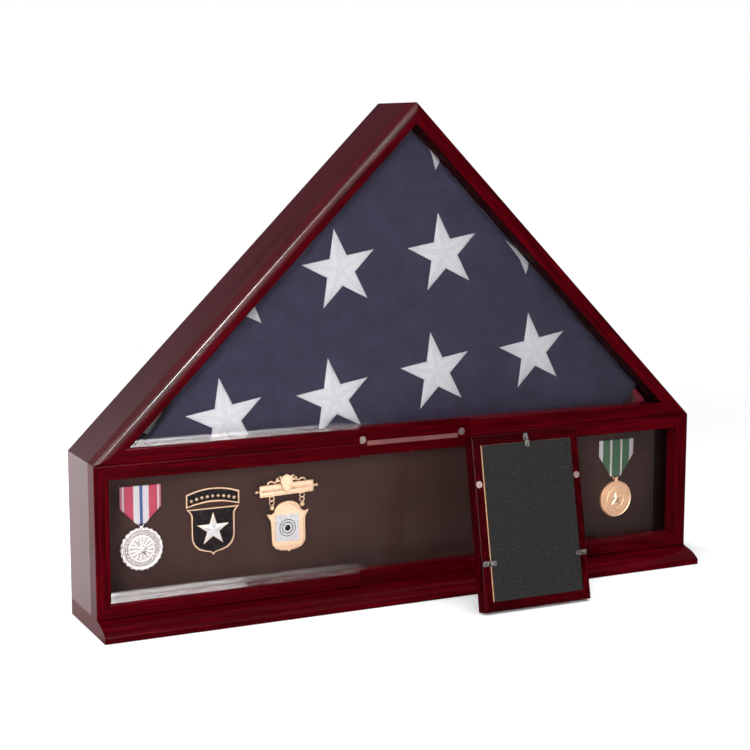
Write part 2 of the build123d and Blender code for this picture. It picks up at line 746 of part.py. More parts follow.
# ================================================================ marksman badge
plate_y = medal_board_y - marksman_stand_off
plate_back = plate_y + marksman_plate / 2
plate_front = plate_y - marksman_plate / 2
ring_x = marksman_ring_spacing / 2
marksman_ring_height = board_middle + marksman_ring_rise
marksman_bar_middle = board_middle + marksman_bar_rise
marksman_crest_top = board_middle + marksman_crest_rise
bar_hole_z = marksman_ring_height + marksman_ring_radius
pendant_hole_z = marksman_ring_height - marksman_ring_radius
pendant_top = marksman_ring_height - pendant_drop
pendant_bottom = pendant_top - pendant_height

with BuildPart() as marksman_bar:
    with BuildSketch(upright(plate_back)):
        with Locations((marksman_x, marksman_bar_middle)):
            RectangleRounded(marksman_bar_width, marksman_bar_height, marksman_bar_corner)
            with Locations((-marksman_bar_width / 2, 0), (marksman_bar_width / 2, 0)):
                Circle(marksman_knob)
        crest_low = marksman_bar_middle
        with BuildLine():
            crest = marksman_crest_width / 2
            Polyline((marksman_x - crest, crest_low), (marksman_x - crest, marksman_crest_top),
                     (marksman_x, marksman_crest_top - marksman_crest_dip), (marksman_x + crest, marksman_crest_top),
                     (marksman_x + crest, crest_low), close=True)
        make_face()
        for x in (marksman_x - ring_x, marksman_x + ring_x):
            with Locations((x, bar_hole_z)):
                Circle(marksman_tab)
                Rectangle(2 * marksman_tab, marksman_bar_middle - bar_hole_z, align=(Align.CENTER, Align.MIN))
                Circle(marksman_ring_hole, mode=Mode.SUBTRACT)
    extrude(amount=marksman_plate)
    with BuildSketch(upright(medal_board_y)):
        with Locations((marksman_x - ring_x, marksman_bar_middle), (marksman_x + ring_x, marksman_bar_middle)):
            Circle(marksman_plate)
    extrude(amount=medal_board_y - plate_back)
write(marksman_bar.part, "marksman_bar")

with BuildPart() as marksman_rings:
    for x in (marksman_x - ring_x, marksman_x + ring_x):
        with Locations(Location(Plane((x, plate_y, marksman_ring_height), z_dir=(1, 0, 0)))):
            Torus(marksman_ring_radius, ring_wire)
write(marksman_rings.part, "marksman_rings")

with BuildPart() as marksman_pendant:
    with BuildSketch(upright(plate_back)):
        with BuildLine():
            edge = pendant_width / 2
            waist = edge - pendant_shoulder
            Polyline((marksman_x - edge, pendant_top - pendant_shoulder), (marksman_x - waist, pendant_top),
                     (marksman_x + waist, pendant_top), (marksman_x + edge, pendant_top - pendant_shoulder),
                     (marksman_x + waist, pendant_top - 2 * pendant_shoulder),
                     (marksman_x + waist, pendant_bottom + 3 * pendant_shoulder),
                     (marksman_x + edge, pendant_bottom + 2 * pendant_shoulder),
                     (marksman_x + waist, pendant_bottom + pendant_shoulder), (marksman_x, pendant_bottom),
                     (marksman_x - waist, pendant_bottom + pendant_shoulder),
                     (marksman_x - edge, pendant_bottom + 2 * pendant_shoulder),
                     (marksman_x - waist, pendant_bottom + 3 * pendant_shoulder),
                     (marksman_x - waist, pendant_top - 2 * pendant_shoulder), close=True)
        make_face()
        for x in (marksman_x - ring_x, marksman_x + ring_x):
            with Locations((x, pendant_hole_z)):
                Circle(marksman_tab)
                Rectangle(2 * marksman_tab, marksman_tab_length, align=(Align.CENTER, Align.MAX))
                Circle(marksman_ring_hole, mode=Mode.SUBTRACT)
    extrude(amount=marksman_plate)
write(marksman_pendant.part, "marksman_pendant")

with BuildPart() as marksman_target:
    with BuildSketch(upright(plate_front)):
        with Locations((marksman_x, pendant_top - target_drop)):
            RectangleRounded(target_width, target_height, target_corner)
    extrude(amount=target_thickness)
write(marksman_target.part, "marksman_target")
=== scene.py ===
# %% [markdown]
# # A folded flag display case
# A cherry-stained wooden case with a gabled window for a folded flag, a long glazed
# compartment of medals below it, and a small picture frame that leans in front, seen
# from its back. The hard parts come ready made from the design. Here they get their
# finishes, and what a design program can't make well is made here: the cloth of the
# flag, the silk ribbons, the struck medals and the papers.

import math

import bmesh
import bpy
from mathutils import Matrix, Vector, noise


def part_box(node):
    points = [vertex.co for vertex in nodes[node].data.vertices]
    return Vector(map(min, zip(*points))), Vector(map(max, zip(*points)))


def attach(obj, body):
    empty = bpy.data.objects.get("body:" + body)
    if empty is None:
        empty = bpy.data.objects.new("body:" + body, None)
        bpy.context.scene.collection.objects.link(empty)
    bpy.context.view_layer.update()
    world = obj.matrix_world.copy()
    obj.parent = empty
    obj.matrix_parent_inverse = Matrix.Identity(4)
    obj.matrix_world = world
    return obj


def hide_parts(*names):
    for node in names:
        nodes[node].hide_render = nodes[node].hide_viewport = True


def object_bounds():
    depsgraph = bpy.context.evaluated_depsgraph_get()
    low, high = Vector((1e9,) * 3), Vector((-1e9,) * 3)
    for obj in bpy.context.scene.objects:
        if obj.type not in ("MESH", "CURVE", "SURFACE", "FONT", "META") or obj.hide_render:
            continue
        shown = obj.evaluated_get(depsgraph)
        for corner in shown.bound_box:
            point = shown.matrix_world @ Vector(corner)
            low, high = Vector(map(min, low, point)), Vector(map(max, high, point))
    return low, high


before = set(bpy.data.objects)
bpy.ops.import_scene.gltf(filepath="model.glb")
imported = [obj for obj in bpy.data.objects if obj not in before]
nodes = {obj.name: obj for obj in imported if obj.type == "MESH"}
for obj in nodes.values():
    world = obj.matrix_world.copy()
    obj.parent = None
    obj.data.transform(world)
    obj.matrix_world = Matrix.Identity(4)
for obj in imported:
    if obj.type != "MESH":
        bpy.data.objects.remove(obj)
cad_low, cad_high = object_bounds()
print(f"{len(nodes)} pieces, box {[round(h - l, 3) for l, h in zip(cad_low, cad_high)]} m")

# %% [markdown]
# ## Where the eye stands
# The camera stands to the left of the case and a little above it, so the left side
# board shows at a slant. A long lens keeps the uprights almost parallel. The angles are
# kept as a turn about the vertical and a dip below the horizon, which is how a tripod
# head is read.

# %% The camera
EYE = Vector((-0.7414, -1.4841, 0.4610))
EYE_TURN = math.radians(25.78)
EYE_DIP = math.radians(8.31)
LENS = 79.39

scene = bpy.context.scene
camera = bpy.data.objects.new("camera", bpy.data.cameras.new("camera"))
camera.data.lens = LENS
camera.data.sensor_width = 36.0
camera.data.clip_start = 0.05
camera.location = EYE
camera.rotation_euler = (math.pi / 2 - EYE_DIP, 0, -EYE_TURN)
scene.collection.objects.link(camera)
scene.camera = camera
print(f"camera {LENS} mm at {tuple(EYE)}")

# %% [markdown]
# ## Small tools
# Every finish below is a few nodes wired to one Principled shader, and most shapes are
# short lists of points. A few helpers keep that readable: they add a node and fill its
# sockets by name, start a finish, stretch a noise along the grain, and turn points and
# faces into a piece.

# %% Helpers for nodes and meshes
def srgb(red, green, blue):
    """A colour given from 0 to 255, as the linear values that shaders use."""
    def linear(value):
        share = value / 255
        return share / 12.92 if share <= 0.04045 else ((share + 0.055) / 1.055) ** 2.4
    return (linear(red), linear(green), linear(blue), 1)


def node(tree, kind, settings=None, **inputs):
    """A shader node with its settings, and its inputs filled or wired by name."""
    made = tree.nodes.new("ShaderNode" + kind)
    for key, value in (settings or {}).items():
        setattr(made, key, value)
    for key, value in inputs.items():
        name = int(key[1:]) if key[0] == "_" else key.replace("_", " ")
        if isinstance(value, bpy.types.NodeSocket):
            tree.links.new(value, made.inputs[name])
        else:
            made.inputs[name].default_value = value
    return made


def calc(tree, operation, first, second=0.0, third=0.0):
    """The result socket of one sum."""
    made = node(tree, "Math", {"operation": operation}, _0=first, _1=second, _2=third)
    return made.outputs[0]


def soft_step(tree, value, start, end):
    """0 before start, 1 past end, and a smooth slope between; start may be the larger."""
    made = node(tree, "MapRange", {"interpolation_type": "SMOOTHSTEP"}, Value=value, _1=start, _2=end)
    return made.outputs[0]


def ramp(tree, factor, stops, interpolation="LINEAR"):
    """A colour ramp from (position, colour) pairs."""
    made = node(tree, "ValToRGB", Fac=factor)
    made.color_ramp.interpolation = interpolation
    elements = made.color_ramp.elements
    while len(elements) < len(stops):
        elements.new(0.5)
    for element, (position, colour) in zip(elements, stops):
        element.position = position
        element.color = colour
    return made.outputs["Color"]


def finish_start(name, **inputs):
    """A new material with its Principled shader's plain values set."""
    material = bpy.data.materials.new(name)
    material.use_nodes = True
    tree = material.node_tree
    shader = tree.nodes["Principled BSDF"]
    for key, value in inputs.items():
        shader.inputs[key.replace("_", " ")].default_value = value
    return material, tree, shader


def stretched_noise(tree, turn, scale, detail=3.0, roughness=0.55):
    """Noise on the object's own coordinates, turned first and then stretched."""
    place = node(tree, "TexCoord").outputs["Object"]
    turned = node(tree, "Mapping", Vector=place, Rotation=turn).outputs[0]
    drawn = node(tree, "Mapping", Vector=turned, Scale=scale).outputs[0]
    return node(tree, "TexNoise", Vector=drawn, Scale=1.0, Detail=detail, Roughness=roughness).outputs["Fac"]


def bump(tree, shader, height, distance, strength=1.0):
    """A bump of a height in metres on the shader."""
    made = node(tree, "Bump", Height=height, Distance=distance, Strength=strength)
    tree.links.new(made.outputs[0], shader.inputs["Normal"])


def piece(name, points, faces, material=None, smooth=True):
    """A new object from points and faces, with its normals made to agree."""
    mesh = bpy.data.meshes.new(name)
    mesh.from_pydata([tuple(p) for p in points], [], faces)
    obj = bpy.data.objects.new(name, mesh)
    scene.collection.objects.link(obj)
    if material:
        mesh.materials.append(material)
    work = bmesh.new()
    work.from_mesh(mesh)
    bmesh.ops.recalc_face_normals(work, faces=work.faces)
    work.to_mesh(mesh)
    work.free()
    for polygon in mesh.polygons:
        polygon.use_smooth = smooth
    return obj


def settle(obj):
    """Applies an object's modifiers, so that a plain mesh is left."""
    graph = bpy.context.evaluated_depsgraph_get()
    mesh = bpy.data.meshes.new_from_object(obj.evaluated_get(graph))
    obj.modifiers.clear()
    obj.data = mesh
    mesh.name = obj.name
    return obj


def turns(steps):
    """Even angles round a full turn."""
    return [2 * math.pi * k / steps for k in range(steps)]


def dress(material, *names):
    """Gives CAD pieces a finish through their material slots."""
    for name in names:
        slots = nodes[name].material_slots
        for slot in slots:
            slot.material = material


# %% [markdown]
# ## Floor and light
# Lacquer and glass show whatever stands round them, so the room matters as much as the
# materials. The floor is pale paper. The room is white to the eye, but what the glass and
# the lacquer mirror is a dim studio, bright only near the horizon behind the case, which
# is why the windows stay clear and the front keeps its deep red. Three lights show in shine
# alone and light nothing: two narrow ones are what the window ledges hand back as pale
# stripes, and one puts the soft band on the left slope. A key light in front on the left, a
# large one overhead and one behind the case on the left give the even tone.

# %% The room
FLOOR_SIZE = 8.0
PAPER_WHITE = (0.93, 0.93, 0.935, 1)
STUDIO_DIM = (0.07, 0.066, 0.07, 1)


def area_light(name, size, power, place, target, only_shine=False):
    """A flat soft light of a size in metres, aimed at a target; it may show in shine alone."""
    data = bpy.data.lights.new(name, "AREA")
    data.shape = "RECTANGLE"
    data.size, data.size_y = size
    data.energy = power
    lamp = bpy.data.objects.new(name, data)
    lamp.location = place
    lamp.rotation_euler = (Vector(target) - Vector(place)).to_track_quat("-Z", "Y").to_euler()
    lamp.visible_diffuse = not only_shine
    scene.collection.objects.link(lamp)
    return lamp


def floor_sheet():
    """A large pale floor: lit paper near the case, white far off, dimmer where lacquer mirrors it."""
    mesh = bpy.data.meshes.new("floor")
    s = FLOOR_SIZE
    mesh.from_pydata([(-s, -s, 0), (s, -s, 0), (s, s, 0), (-s, s, 0)], [], [(0, 1, 2, 3)])
    sheet = bpy.data.objects.new("floor", mesh)
    scene.collection.objects.link(sheet)
    paper, tree, shader = finish_start("floor_paper", Base_Color=PAPER_WHITE, Roughness=0.8,
                                       Specular_IOR_Level=0.1)
    out = tree.nodes["Material Output"]
    place = node(tree, "TexCoord").outputs["Object"]
    axes = node(tree, "SeparateXYZ", Vector=place).outputs
    path = node(tree, "LightPath").outputs
    reach = node(tree, "VectorMath", {"operation": "LENGTH"}, _0=place).outputs["Value"]
    far = soft_step(tree, reach, 0.75, 1.5)
    ahead = soft_step(tree, axes["Y"], -0.03, -0.075)
    white = node(tree, "Emission", Color=(1, 1, 1, 1), Strength=1.0).outputs[0]
    dim = node(tree, "Emission", Color=STUDIO_DIM, Strength=1.0).outputs[0]
    seen = node(tree, "MixShader", _0=calc(tree, "MULTIPLY", far, path["Is Camera Ray"]),
                _1=shader.outputs[0], _2=white).outputs[0]
    mirrored = node(tree, "MixShader", _0=calc(tree, "MULTIPLY", ahead, path["Is Glossy Ray"]),
                    _1=seen, _2=dim).outputs[0]
    tree.links.new(mirrored, out.inputs["Surface"])
    mesh.materials.append(paper)
    return sheet


def studio_world():
    """White to the eye; to the object a dim room, bright low down behind it and a little overhead."""
    world = bpy.data.worlds.new("pale_room")
    world.use_nodes = True
    tree = world.node_tree
    tree.nodes.clear()
    out = tree.nodes.new("ShaderNodeOutputWorld")
    way = node(tree, "SeparateXYZ", Vector=node(tree, "TexCoord").outputs["Generated"]).outputs
    low = soft_step(tree, way["Z"], 0.22, 0.04)
    behind = soft_step(tree, way["Y"], -0.1, 0.4)
    above = soft_step(tree, way["Z"], 0.45, 0.9)
    glow = calc(tree, "MAXIMUM", calc(tree, "MULTIPLY", low, behind), calc(tree, "MULTIPLY", above, 0.7))
    room = node(tree, "MixRGB", Fac=glow, Color1=STUDIO_DIM, Color2=(1, 1, 1, 1)).outputs[0]
    studio = node(tree, "Background", Color=room, Strength=1.0).outputs[0]
    white = node(tree, "Background", Color=(1, 1, 1, 1), Strength=1.0).outputs[0]
    seen = node(tree, "LightPath").outputs["Is Camera Ray"]
    tree.links.new(node(tree, "MixShader", _0=seen, _1=studio, _2=white).outputs[0], out.inputs["Surface"])
    scene.world = world


floor_sheet()
studio_world()
scene.view_settings.view_transform = "Standard"

CASE_MIDDLE = (0, 0, 0.2)
area_light("key_light", (0.6, 0.5), 46, (-1.5, -2.0, 0.75), CASE_MIDDLE)
area_light("ledge_light", (0.62, 0.09), 6, (0.34, -2.2, 0.69), CASE_MIDDLE, only_shine=True)
area_light("sill_light", (0.60, 0.09), 6, (0.64, -2.2, 0.60), CASE_MIDDLE, only_shine=True)
area_light("slope_light", (0.55, 0.5), 62, (0.05, -2.2, 0.44), (-0.2, 0, 0.25), only_shine=True)
area_light("top_light", (2.4, 1.8), 44, (0.2, -0.7, 2.3), (0, 0, 0))
area_light("back_light", (1.4, 1.0), 48, (-1.7, 1.3, 0.9), (-0.5, 0.3, 0))
print("six lights, a floor and a room")


# %% [markdown]
# ## Cherry stain under lacquer
# The wood is a light timber stained a deep cherry red, then lacquered until it has a soft
# shine. The grain runs along each member, so the pattern is turned to lie with it: along
# X for the rails, upright for the stiles and sides, and at 45 degrees for the two slopes.
# Long streaks and a broader figure mix a dark and a light tone of the stain, fine dark
# pores are pressed in, and the lacquer is a thin gloss with a low shine face on, which
# grows pale at a glancing angle, as the side board shows. Two highlights are set by place
# and not by one even lacquer: the ledges turn to a mirror towards the left, and the left
# slope shines along its outer edge and low down. Shade is painted too: the slopes' inner
# reveals are darkened almost to black, and the roof boards take a darker, greyer stain.

# %% Wood
STAIN_DARK = (0.020, 0.0002, 0.0008, 1)
STAIN_MIDDLE = (0.050, 0.0003, 0.0020, 1)
STAIN_LIGHT = (0.105, 0.0005, 0.0045, 1)
ALONG_X = (0, 0, 0)
UPRIGHT = (0, math.radians(90), 0)
LEFT_SLOPE = (0, math.radians(45), 0)
RIGHT_SLOPE = (0, math.radians(-45), 0)
PLAIN_SHINE = 0.03


def cherry_wood(name, turn, shine=PLAIN_SHINE, roughness=0.17, stain=(STAIN_DARK, STAIN_MIDDLE, STAIN_LIGHT)):
    """Stained and lacquered wood with its grain turned to lie along local X."""
    material, tree, shader = finish_start(name, Roughness=roughness, Specular_IOR_Level=shine)
    streaks = stretched_noise(tree, turn, (16, 420, 420), 4.0, 0.62)
    figure = stretched_noise(tree, turn, (5, 42, 42), 2.0)
    pores = stretched_noise(tree, turn, (70, 1500, 1500), 2.0)
    tone = calc(tree, "ADD", calc(tree, "MULTIPLY", streaks, 0.7), calc(tree, "MULTIPLY", figure, 0.3))
    dark, middle, light = stain
    colour = ramp(tree, tone, [(0.34, dark), (0.52, middle), (0.70, light)])
    pore_mask = ramp(tree, pores, [(0.30, (0.6, 0.6, 0.6, 1)), (0.40, (1, 1, 1, 1))])
    mixed = node(tree, "MixRGB", {"blend_type": "MULTIPLY"}, Fac=1.0, Color1=colour, Color2=pore_mask)
    tree.links.new(mixed.outputs[0], shader.inputs["Base Color"])
    bump(tree, shader, calc(tree, "ADD", pore_mask, calc(tree, "MULTIPLY", streaks, 0.6)), 0.00004, 0.5)
    return material


LEDGE_LEFT, LEDGE_RIGHT = -0.27, -0.08
HIGHLIGHT_STRIPE_PITCH = 0.0045


def ledge_wood(name, turn):
    """A window rail's wood whose level inner ledge turns to a mirror in fine stripes, most at the left: a
    painted highlight set by place.
    """
    material = cherry_wood(name, turn)
    tree = material.node_tree
    shader = tree.nodes["Principled BSDF"]
    facing = node(tree, "SeparateXYZ", Vector=node(tree, "NewGeometry").outputs["True Normal"]).outputs["Z"]
    axes = node(tree, "SeparateXYZ", Vector=node(tree, "TexCoord").outputs["Object"]).outputs
    # The ledge's mirror share fades from left to right and runs in stripes: a painted highlight, set by place
    # and not by the lacquer.
    fading = node(tree, "MapRange", Value=axes["X"], _1=LEDGE_LEFT, _2=LEDGE_RIGHT, _3=0.62,
                  _4=0.02).outputs[0]
    highlight_stripes = calc(tree, "SINE", calc(tree, "MULTIPLY", axes["Y"], 2 * math.pi / HIGHLIGHT_STRIPE_PITCH))
    highlight_stripes = calc(tree, "MULTIPLY_ADD", highlight_stripes, 0.4, 0.6)
    level = calc(tree, "GREATER_THAN", facing, 0.9)
    placed_highlight = calc(tree, "MULTIPLY", level, calc(tree, "MULTIPLY", fading, highlight_stripes))
    mirror = node(tree, "BsdfGlossy", Color=(1, 0.97, 0.97, 1), Roughness=0.07).outputs[0]
    mix = node(tree, "MixShader", _0=placed_highlight, _1=shader.outputs[0], _2=mirror).outputs[0]
    tree.links.new(mix, tree.nodes["Material Output"].inputs["Surface"])
    return material


CROWN_WIDTH = 0.0105
CROWN_TILT = 0.03
# Where the slope's painted highlight runs across the rail and how low it is strongest.
HIGHLIGHT_START, HIGHLIGHT_END = 0.001, 0.0085
HIGHLIGHT_FOOT = 0.24


def cambered_wood(name, turn, sign, shine):
    """The slope rails' wood: its bumped crown and a highlight set by place lie along the outer edge, most low
    down; its inner reveal is painted near black as shade.
    """
    material = cherry_wood(name, turn, shine)
    tree = material.node_tree
    shader = tree.nodes["Principled BSDF"]
    apex = cad_high[2]
    place = node(tree, "TexCoord").outputs["Object"]
    axes = node(tree, "SeparateXYZ", Vector=place).outputs
    drop = calc(tree, "SUBTRACT", apex, axes["Z"])
    across = calc(tree, "ADD", calc(tree, "MULTIPLY", axes["X"], sign), drop)
    inset = calc(tree, "MULTIPLY", across, math.sqrt(0.5))
    left = calc(tree, "MAXIMUM", calc(tree, "SUBTRACT", CROWN_WIDTH, inset), 0.0)
    height = calc(tree, "MULTIPLY", calc(tree, "MULTIPLY", left, left), -CROWN_TILT / (2 * CROWN_WIDTH))
    old = shader.inputs["Normal"].links[0].from_socket
    # The inner reveal's colour is pulled almost to black: painted shade.
    facing = node(tree, "VectorMath", {"operation": "DOT_PRODUCT"}, _1=(sign * 0.7071, 0, -0.7071),
                  _0=node(tree, "NewGeometry").outputs["True Normal"]).outputs["Value"]
    reveal_shade = calc(tree, "MULTIPLY", calc(tree, "GREATER_THAN", facing, 0.9), 0.86)
    base = shader.inputs["Base Color"].links[0].from_socket
    shaded = node(tree, "MixRGB", Fac=reveal_shade, Color1=base, Color2=(0.002, 0.001, 0.001, 1)).outputs[0]
    tree.links.new(shaded, shader.inputs["Base Color"])
    crown = node(tree, "Bump", Height=height, Distance=1.0, Strength=1.0, Normal=old)
    tree.links.new(crown.outputs[0], shader.inputs["Normal"])
    # Shine set by place, strongest along the outer edge and low down: a painted highlight, not an even
    # lacquer.
    edge_highlight = node(tree, "MapRange", {"interpolation_type": "SMOOTHSTEP"}, Value=inset, From_Min=HIGHLIGHT_START,
                 From_Max=HIGHLIGHT_END, To_Min=shine, To_Max=PLAIN_SHINE).outputs[0]
    foot = node(tree, "MapRange", Value=axes["Z"], From_Min=HIGHLIGHT_FOOT, From_Max=apex, To_Min=1.0,
                To_Max=0.3).outputs[0]
    tree.links.new(calc(tree, "MULTIPLY", edge_highlight, foot), shader.inputs["Specular IOR Level"])
    return material


rail_wood = cherry_wood("cherry_rail", ALONG_X)
stile_wood = cherry_wood("cherry_stile", UPRIGHT)
board_wood = cherry_wood("cherry_side_board", UPRIGHT, shine=0.36, roughness=0.33)
# The roof boards take a darker, greyer copy of the cherry stain: painted shade and dull sheen, not a
# different wood.
roof_stain_painted_shade = (STAIN_DARK, (0.034, 0.003, 0.006, 1), (0.05, 0.005, 0.009, 1))
dress(rail_wood, "base_board", "middle_shelf", "medal_window_top_rail")
dark_stain = ((0.010, 0.0002, 0.0006, 1), (0.034, 0.0003, 0.0016, 1), (0.085, 0.0005, 0.004, 1))
dress(cherry_wood("cherry_picture_rail", ALONG_X, stain=dark_stain),
      "picture_frame_top", "picture_frame_bottom")
dress(cherry_wood("cherry_picture_stile", UPRIGHT, stain=dark_stain),
      "picture_frame_left", "picture_frame_right")
dress(ledge_wood("cherry_ledge_rail", ALONG_X), "flag_window_sill", "medal_window_bottom_rail")
dress(stile_wood, "left_stile", "right_stile")
dress(board_wood, "left_side_board", "right_side_board")
dress(cambered_wood("cherry_left_slope", LEFT_SLOPE, 1, 1.0), "left_slope_rail")
dress(cambered_wood("cherry_right_slope", RIGHT_SLOPE, -1, 0.05), "right_slope_rail")
dress(cherry_wood("cherry_left_roof", LEFT_SLOPE, 0.14, 0.36, roof_stain_painted_shade), "left_roof_board")
dress(cherry_wood("cherry_right_roof", RIGHT_SLOPE, 0.14, 0.36, roof_stain_painted_shade), "right_roof_board")
wooden = [o for o in nodes.values() if o.material_slots[0].material.name.startswith("cherry")]
print("wood on", len(wooden), "pieces")

# %% [markdown]
# ## Glass
# Window glass hardly shows except by what it reflects. A see-through shader and a mirror
# are mixed by Fresnel, so it is clear face on and shines at a slant. Nothing is bent, which
# is right for a flat pane, and light passes without the noise of a true refraction.

# %% Glass
GLASS_BEND = 1.45


def pane_glass():
    """Clear flat glass that mirrors a little."""
    material = bpy.data.materials.new("clear_pane")
    material.use_nodes = True
    tree = material.node_tree
    tree.nodes.clear()
    out = tree.nodes.new("ShaderNodeOutputMaterial")
    clear = node(tree, "BsdfTransparent", Color=(0.985, 0.99, 0.988, 1)).outputs[0]
    mirror = node(tree, "BsdfGlossy", Color=(1, 1, 1, 1), Roughness=0.012).outputs[0]
    share = node(tree, "Fresnel", IOR=GLASS_BEND).outputs[0]
    mix = node(tree, "MixShader", _0=share, _1=clear, _2=mirror)
    tree.links.new(mix.outputs[0], out.inputs["Surface"])
    return material


dress(pane_glass(), "flag_window_glass", "medal_window_glass", "picture_glass")

# %% [markdown]
# ## Felt, linings, boards and papers
# The medals are pinned to a board under dark brown felt. Felt has no weave: it is a mat of
# short fibres, so its colour and its bump are a fine noise, with a faint sheen from the
# fibre ends. The linings are the same in black. The backs are pressed hardboard, which is
# speckled with darker fibres, and the picture's backing board is black paper with pale
# flecks over raw fibreboard, whose tan edge shows all round.

# %% Felt and linings
def felt(name, low, high, fibre=2600.0, sheen=0.12):
    """A mat of short fibres in two close tones."""
    material, tree, shader = finish_start(name, Roughness=0.95, Specular_IOR_Level=0.05, Sheen_Weight=sheen,
                                          Sheen_Roughness=0.5)
    fibres = stretched_noise(tree, ALONG_X, (fibre, fibre, fibre), 4.0, 0.7)
    cloud = stretched_noise(tree, ALONG_X, (18, 18, 18), 2.0)
    tone = calc(tree, "ADD", calc(tree, "MULTIPLY", fibres, 0.6), calc(tree, "MULTIPLY", cloud, 0.4))
    tree.links.new(ramp(tree, tone, [(0.35, low), (0.65, high)]), shader.inputs["Base Color"])
    bump(tree, shader, fibres, 0.00025, 0.6)
    return material


dress(felt("medal_felt", (0.052, 0.025, 0.022, 1), (0.088, 0.043, 0.037, 1)), "medal_board")
dress(felt("black_lining_cloth", (0.001, 0.001, 0.0012, 1), (0.004, 0.004, 0.005, 1), sheen=0.02),
      "flag_glass_stops", "compartment_lining")
dress(felt("notch_felt", srgb(84, 44, 42), srgb(138, 92, 88), 1200.0, 0.05), "rail_felt_strip")


# %% Boards and papers
def hardboard():
    """Brown-black pressed board with paler fibres and a slight gloss."""
    material, tree, shader = finish_start("back_hardboard", Roughness=0.5, Specular_IOR_Level=0.3)
    flecks = stretched_noise(tree, ALONG_X, (420, 420, 420), 5.0, 0.75)
    patches = stretched_noise(tree, ALONG_X, (30, 30, 30), 3.0)
    tone = calc(tree, "ADD", calc(tree, "MULTIPLY", flecks, 0.7), calc(tree, "MULTIPLY", patches, 0.3))
    stops = [(0.35, (0.022, 0.012, 0.008, 1)), (0.55, (0.055, 0.033, 0.022, 1)),
             (0.72, (0.14, 0.09, 0.06, 1))]
    tree.links.new(ramp(tree, tone, stops), shader.inputs["Base Color"])
    bump(tree, shader, flecks, 0.0002, 0.5)
    return material


def softwood():
    """Plain unfinished wood for the cleats that nobody sees."""
    material, tree, shader = finish_start("cleat_softwood", Roughness=0.7)
    streaks = stretched_noise(tree, ALONG_X, (20, 260, 260), 4.0)
    stops = [(0.35, srgb(176, 132, 84)), (0.62, srgb(222, 186, 136))]
    tree.links.new(ramp(tree, streaks, stops), shader.inputs["Base Color"])
    bump(tree, shader, streaks, 0.0001, 0.5)
    return material


def speckled_board(face_normal):
    """Black flecked paper on the face, raw tan fibre on the edges, told apart by the way each looks."""
    material, tree, shader = finish_start("speckled_backing", Roughness=0.8, Specular_IOR_Level=0.2)
    flecks = stretched_noise(tree, ALONG_X, (950, 950, 950), 3.0, 0.6)
    paper = ramp(tree, flecks, [(0.46, srgb(13, 11, 11)), (0.60, srgb(24, 21, 20)), (0.74, srgb(66, 58, 54))])
    fibre = stretched_noise(tree, ALONG_X, (500, 500, 500), 3.0)
    edge = ramp(tree, fibre, [(0.35, srgb(196, 142, 104)), (0.65, srgb(232, 190, 150))])
    facing = node(tree, "VectorMath", {"operation": "DOT_PRODUCT"}, _1=tuple(face_normal),
                  _0=node(tree, "NewGeometry").outputs["True Normal"]).outputs["Value"]
    on_face = calc(tree, "GREATER_THAN", calc(tree, "ABSOLUTE", facing), 0.7)
    mixed = node(tree, "MixRGB", Fac=on_face, Color1=edge, Color2=paper)
    tree.links.new(mixed.outputs[0], shader.inputs["Base Color"])
    bump(tree, shader, flecks, 0.0002, 0.6)
    return material


PICTURE_LEAN = math.radians(10.85)
picture_normal = Vector((0, -math.cos(PICTURE_LEAN), math.sin(PICTURE_LEAN)))
dress(hardboard(), "flag_back_panel", "medal_back_panel")
dress(softwood(), "flag_back_cleats", "medal_board_spacers")
dress(speckled_board(picture_normal), "picture_backing_board")


def photo_paper():
    """Satin paper with a soft pale mottling."""
    material, tree, shader = finish_start("photo_paper", Roughness=0.35)
    cloud = stretched_noise(tree, ALONG_X, (60, 60, 60), 3.0)
    tree.links.new(ramp(tree, cloud, [(0.3, srgb(226, 224, 220)), (0.7, srgb(242, 241, 238))]),
                   shader.inputs["Base Color"])
    return material


dress(photo_paper(), "picture_print")


# %% [markdown]
# ## Metals
# Small metal parts are told apart by colour and by how they were worked. Struck metal is
# bright on its high places and dull in the hollows; plated steel is darker; a magnet is
# nickel that handling has dulled. All of them come from one function: a metal whose
# roughness and bump follow a fine noise.

# %% Metals
def metal(name, low, high, roughness=0.28, grain=900.0, relief=0.00004, hollows=False):
    """A metal in two close tones, with fine wear, and duller in the hollows if it was struck."""
    material, tree, shader = finish_start(name, Metallic=1.0, Roughness=roughness)
    wear = stretched_noise(tree, ALONG_X, (grain, grain, grain), 3.0, 0.6)
    colour = ramp(tree, wear, [(0.35, low), (0.65, high)])
    if hollows:
        rise = node(tree, "Attribute", {"attribute_name": "rise"}).outputs["Fac"]
        stops = [(0.0, (0.50, 0.48, 0.48, 1)), (0.2, (0.82, 0.81, 0.81, 1)), (0.5, (1, 1, 1, 1))]
        mixed = node(tree, "MixRGB", {"blend_type": "MULTIPLY"}, Fac=1.0, Color1=colour,
                     Color2=ramp(tree, rise, stops))
        colour = mixed.outputs[0]
    tree.links.new(colour, shader.inputs["Base Color"])
    rough = calc(tree, "MULTIPLY_ADD", wear, 0.25, roughness - 0.12)
    tree.links.new(rough, shader.inputs["Roughness"])
    bump(tree, shader, wear, relief, 0.6)
    return material


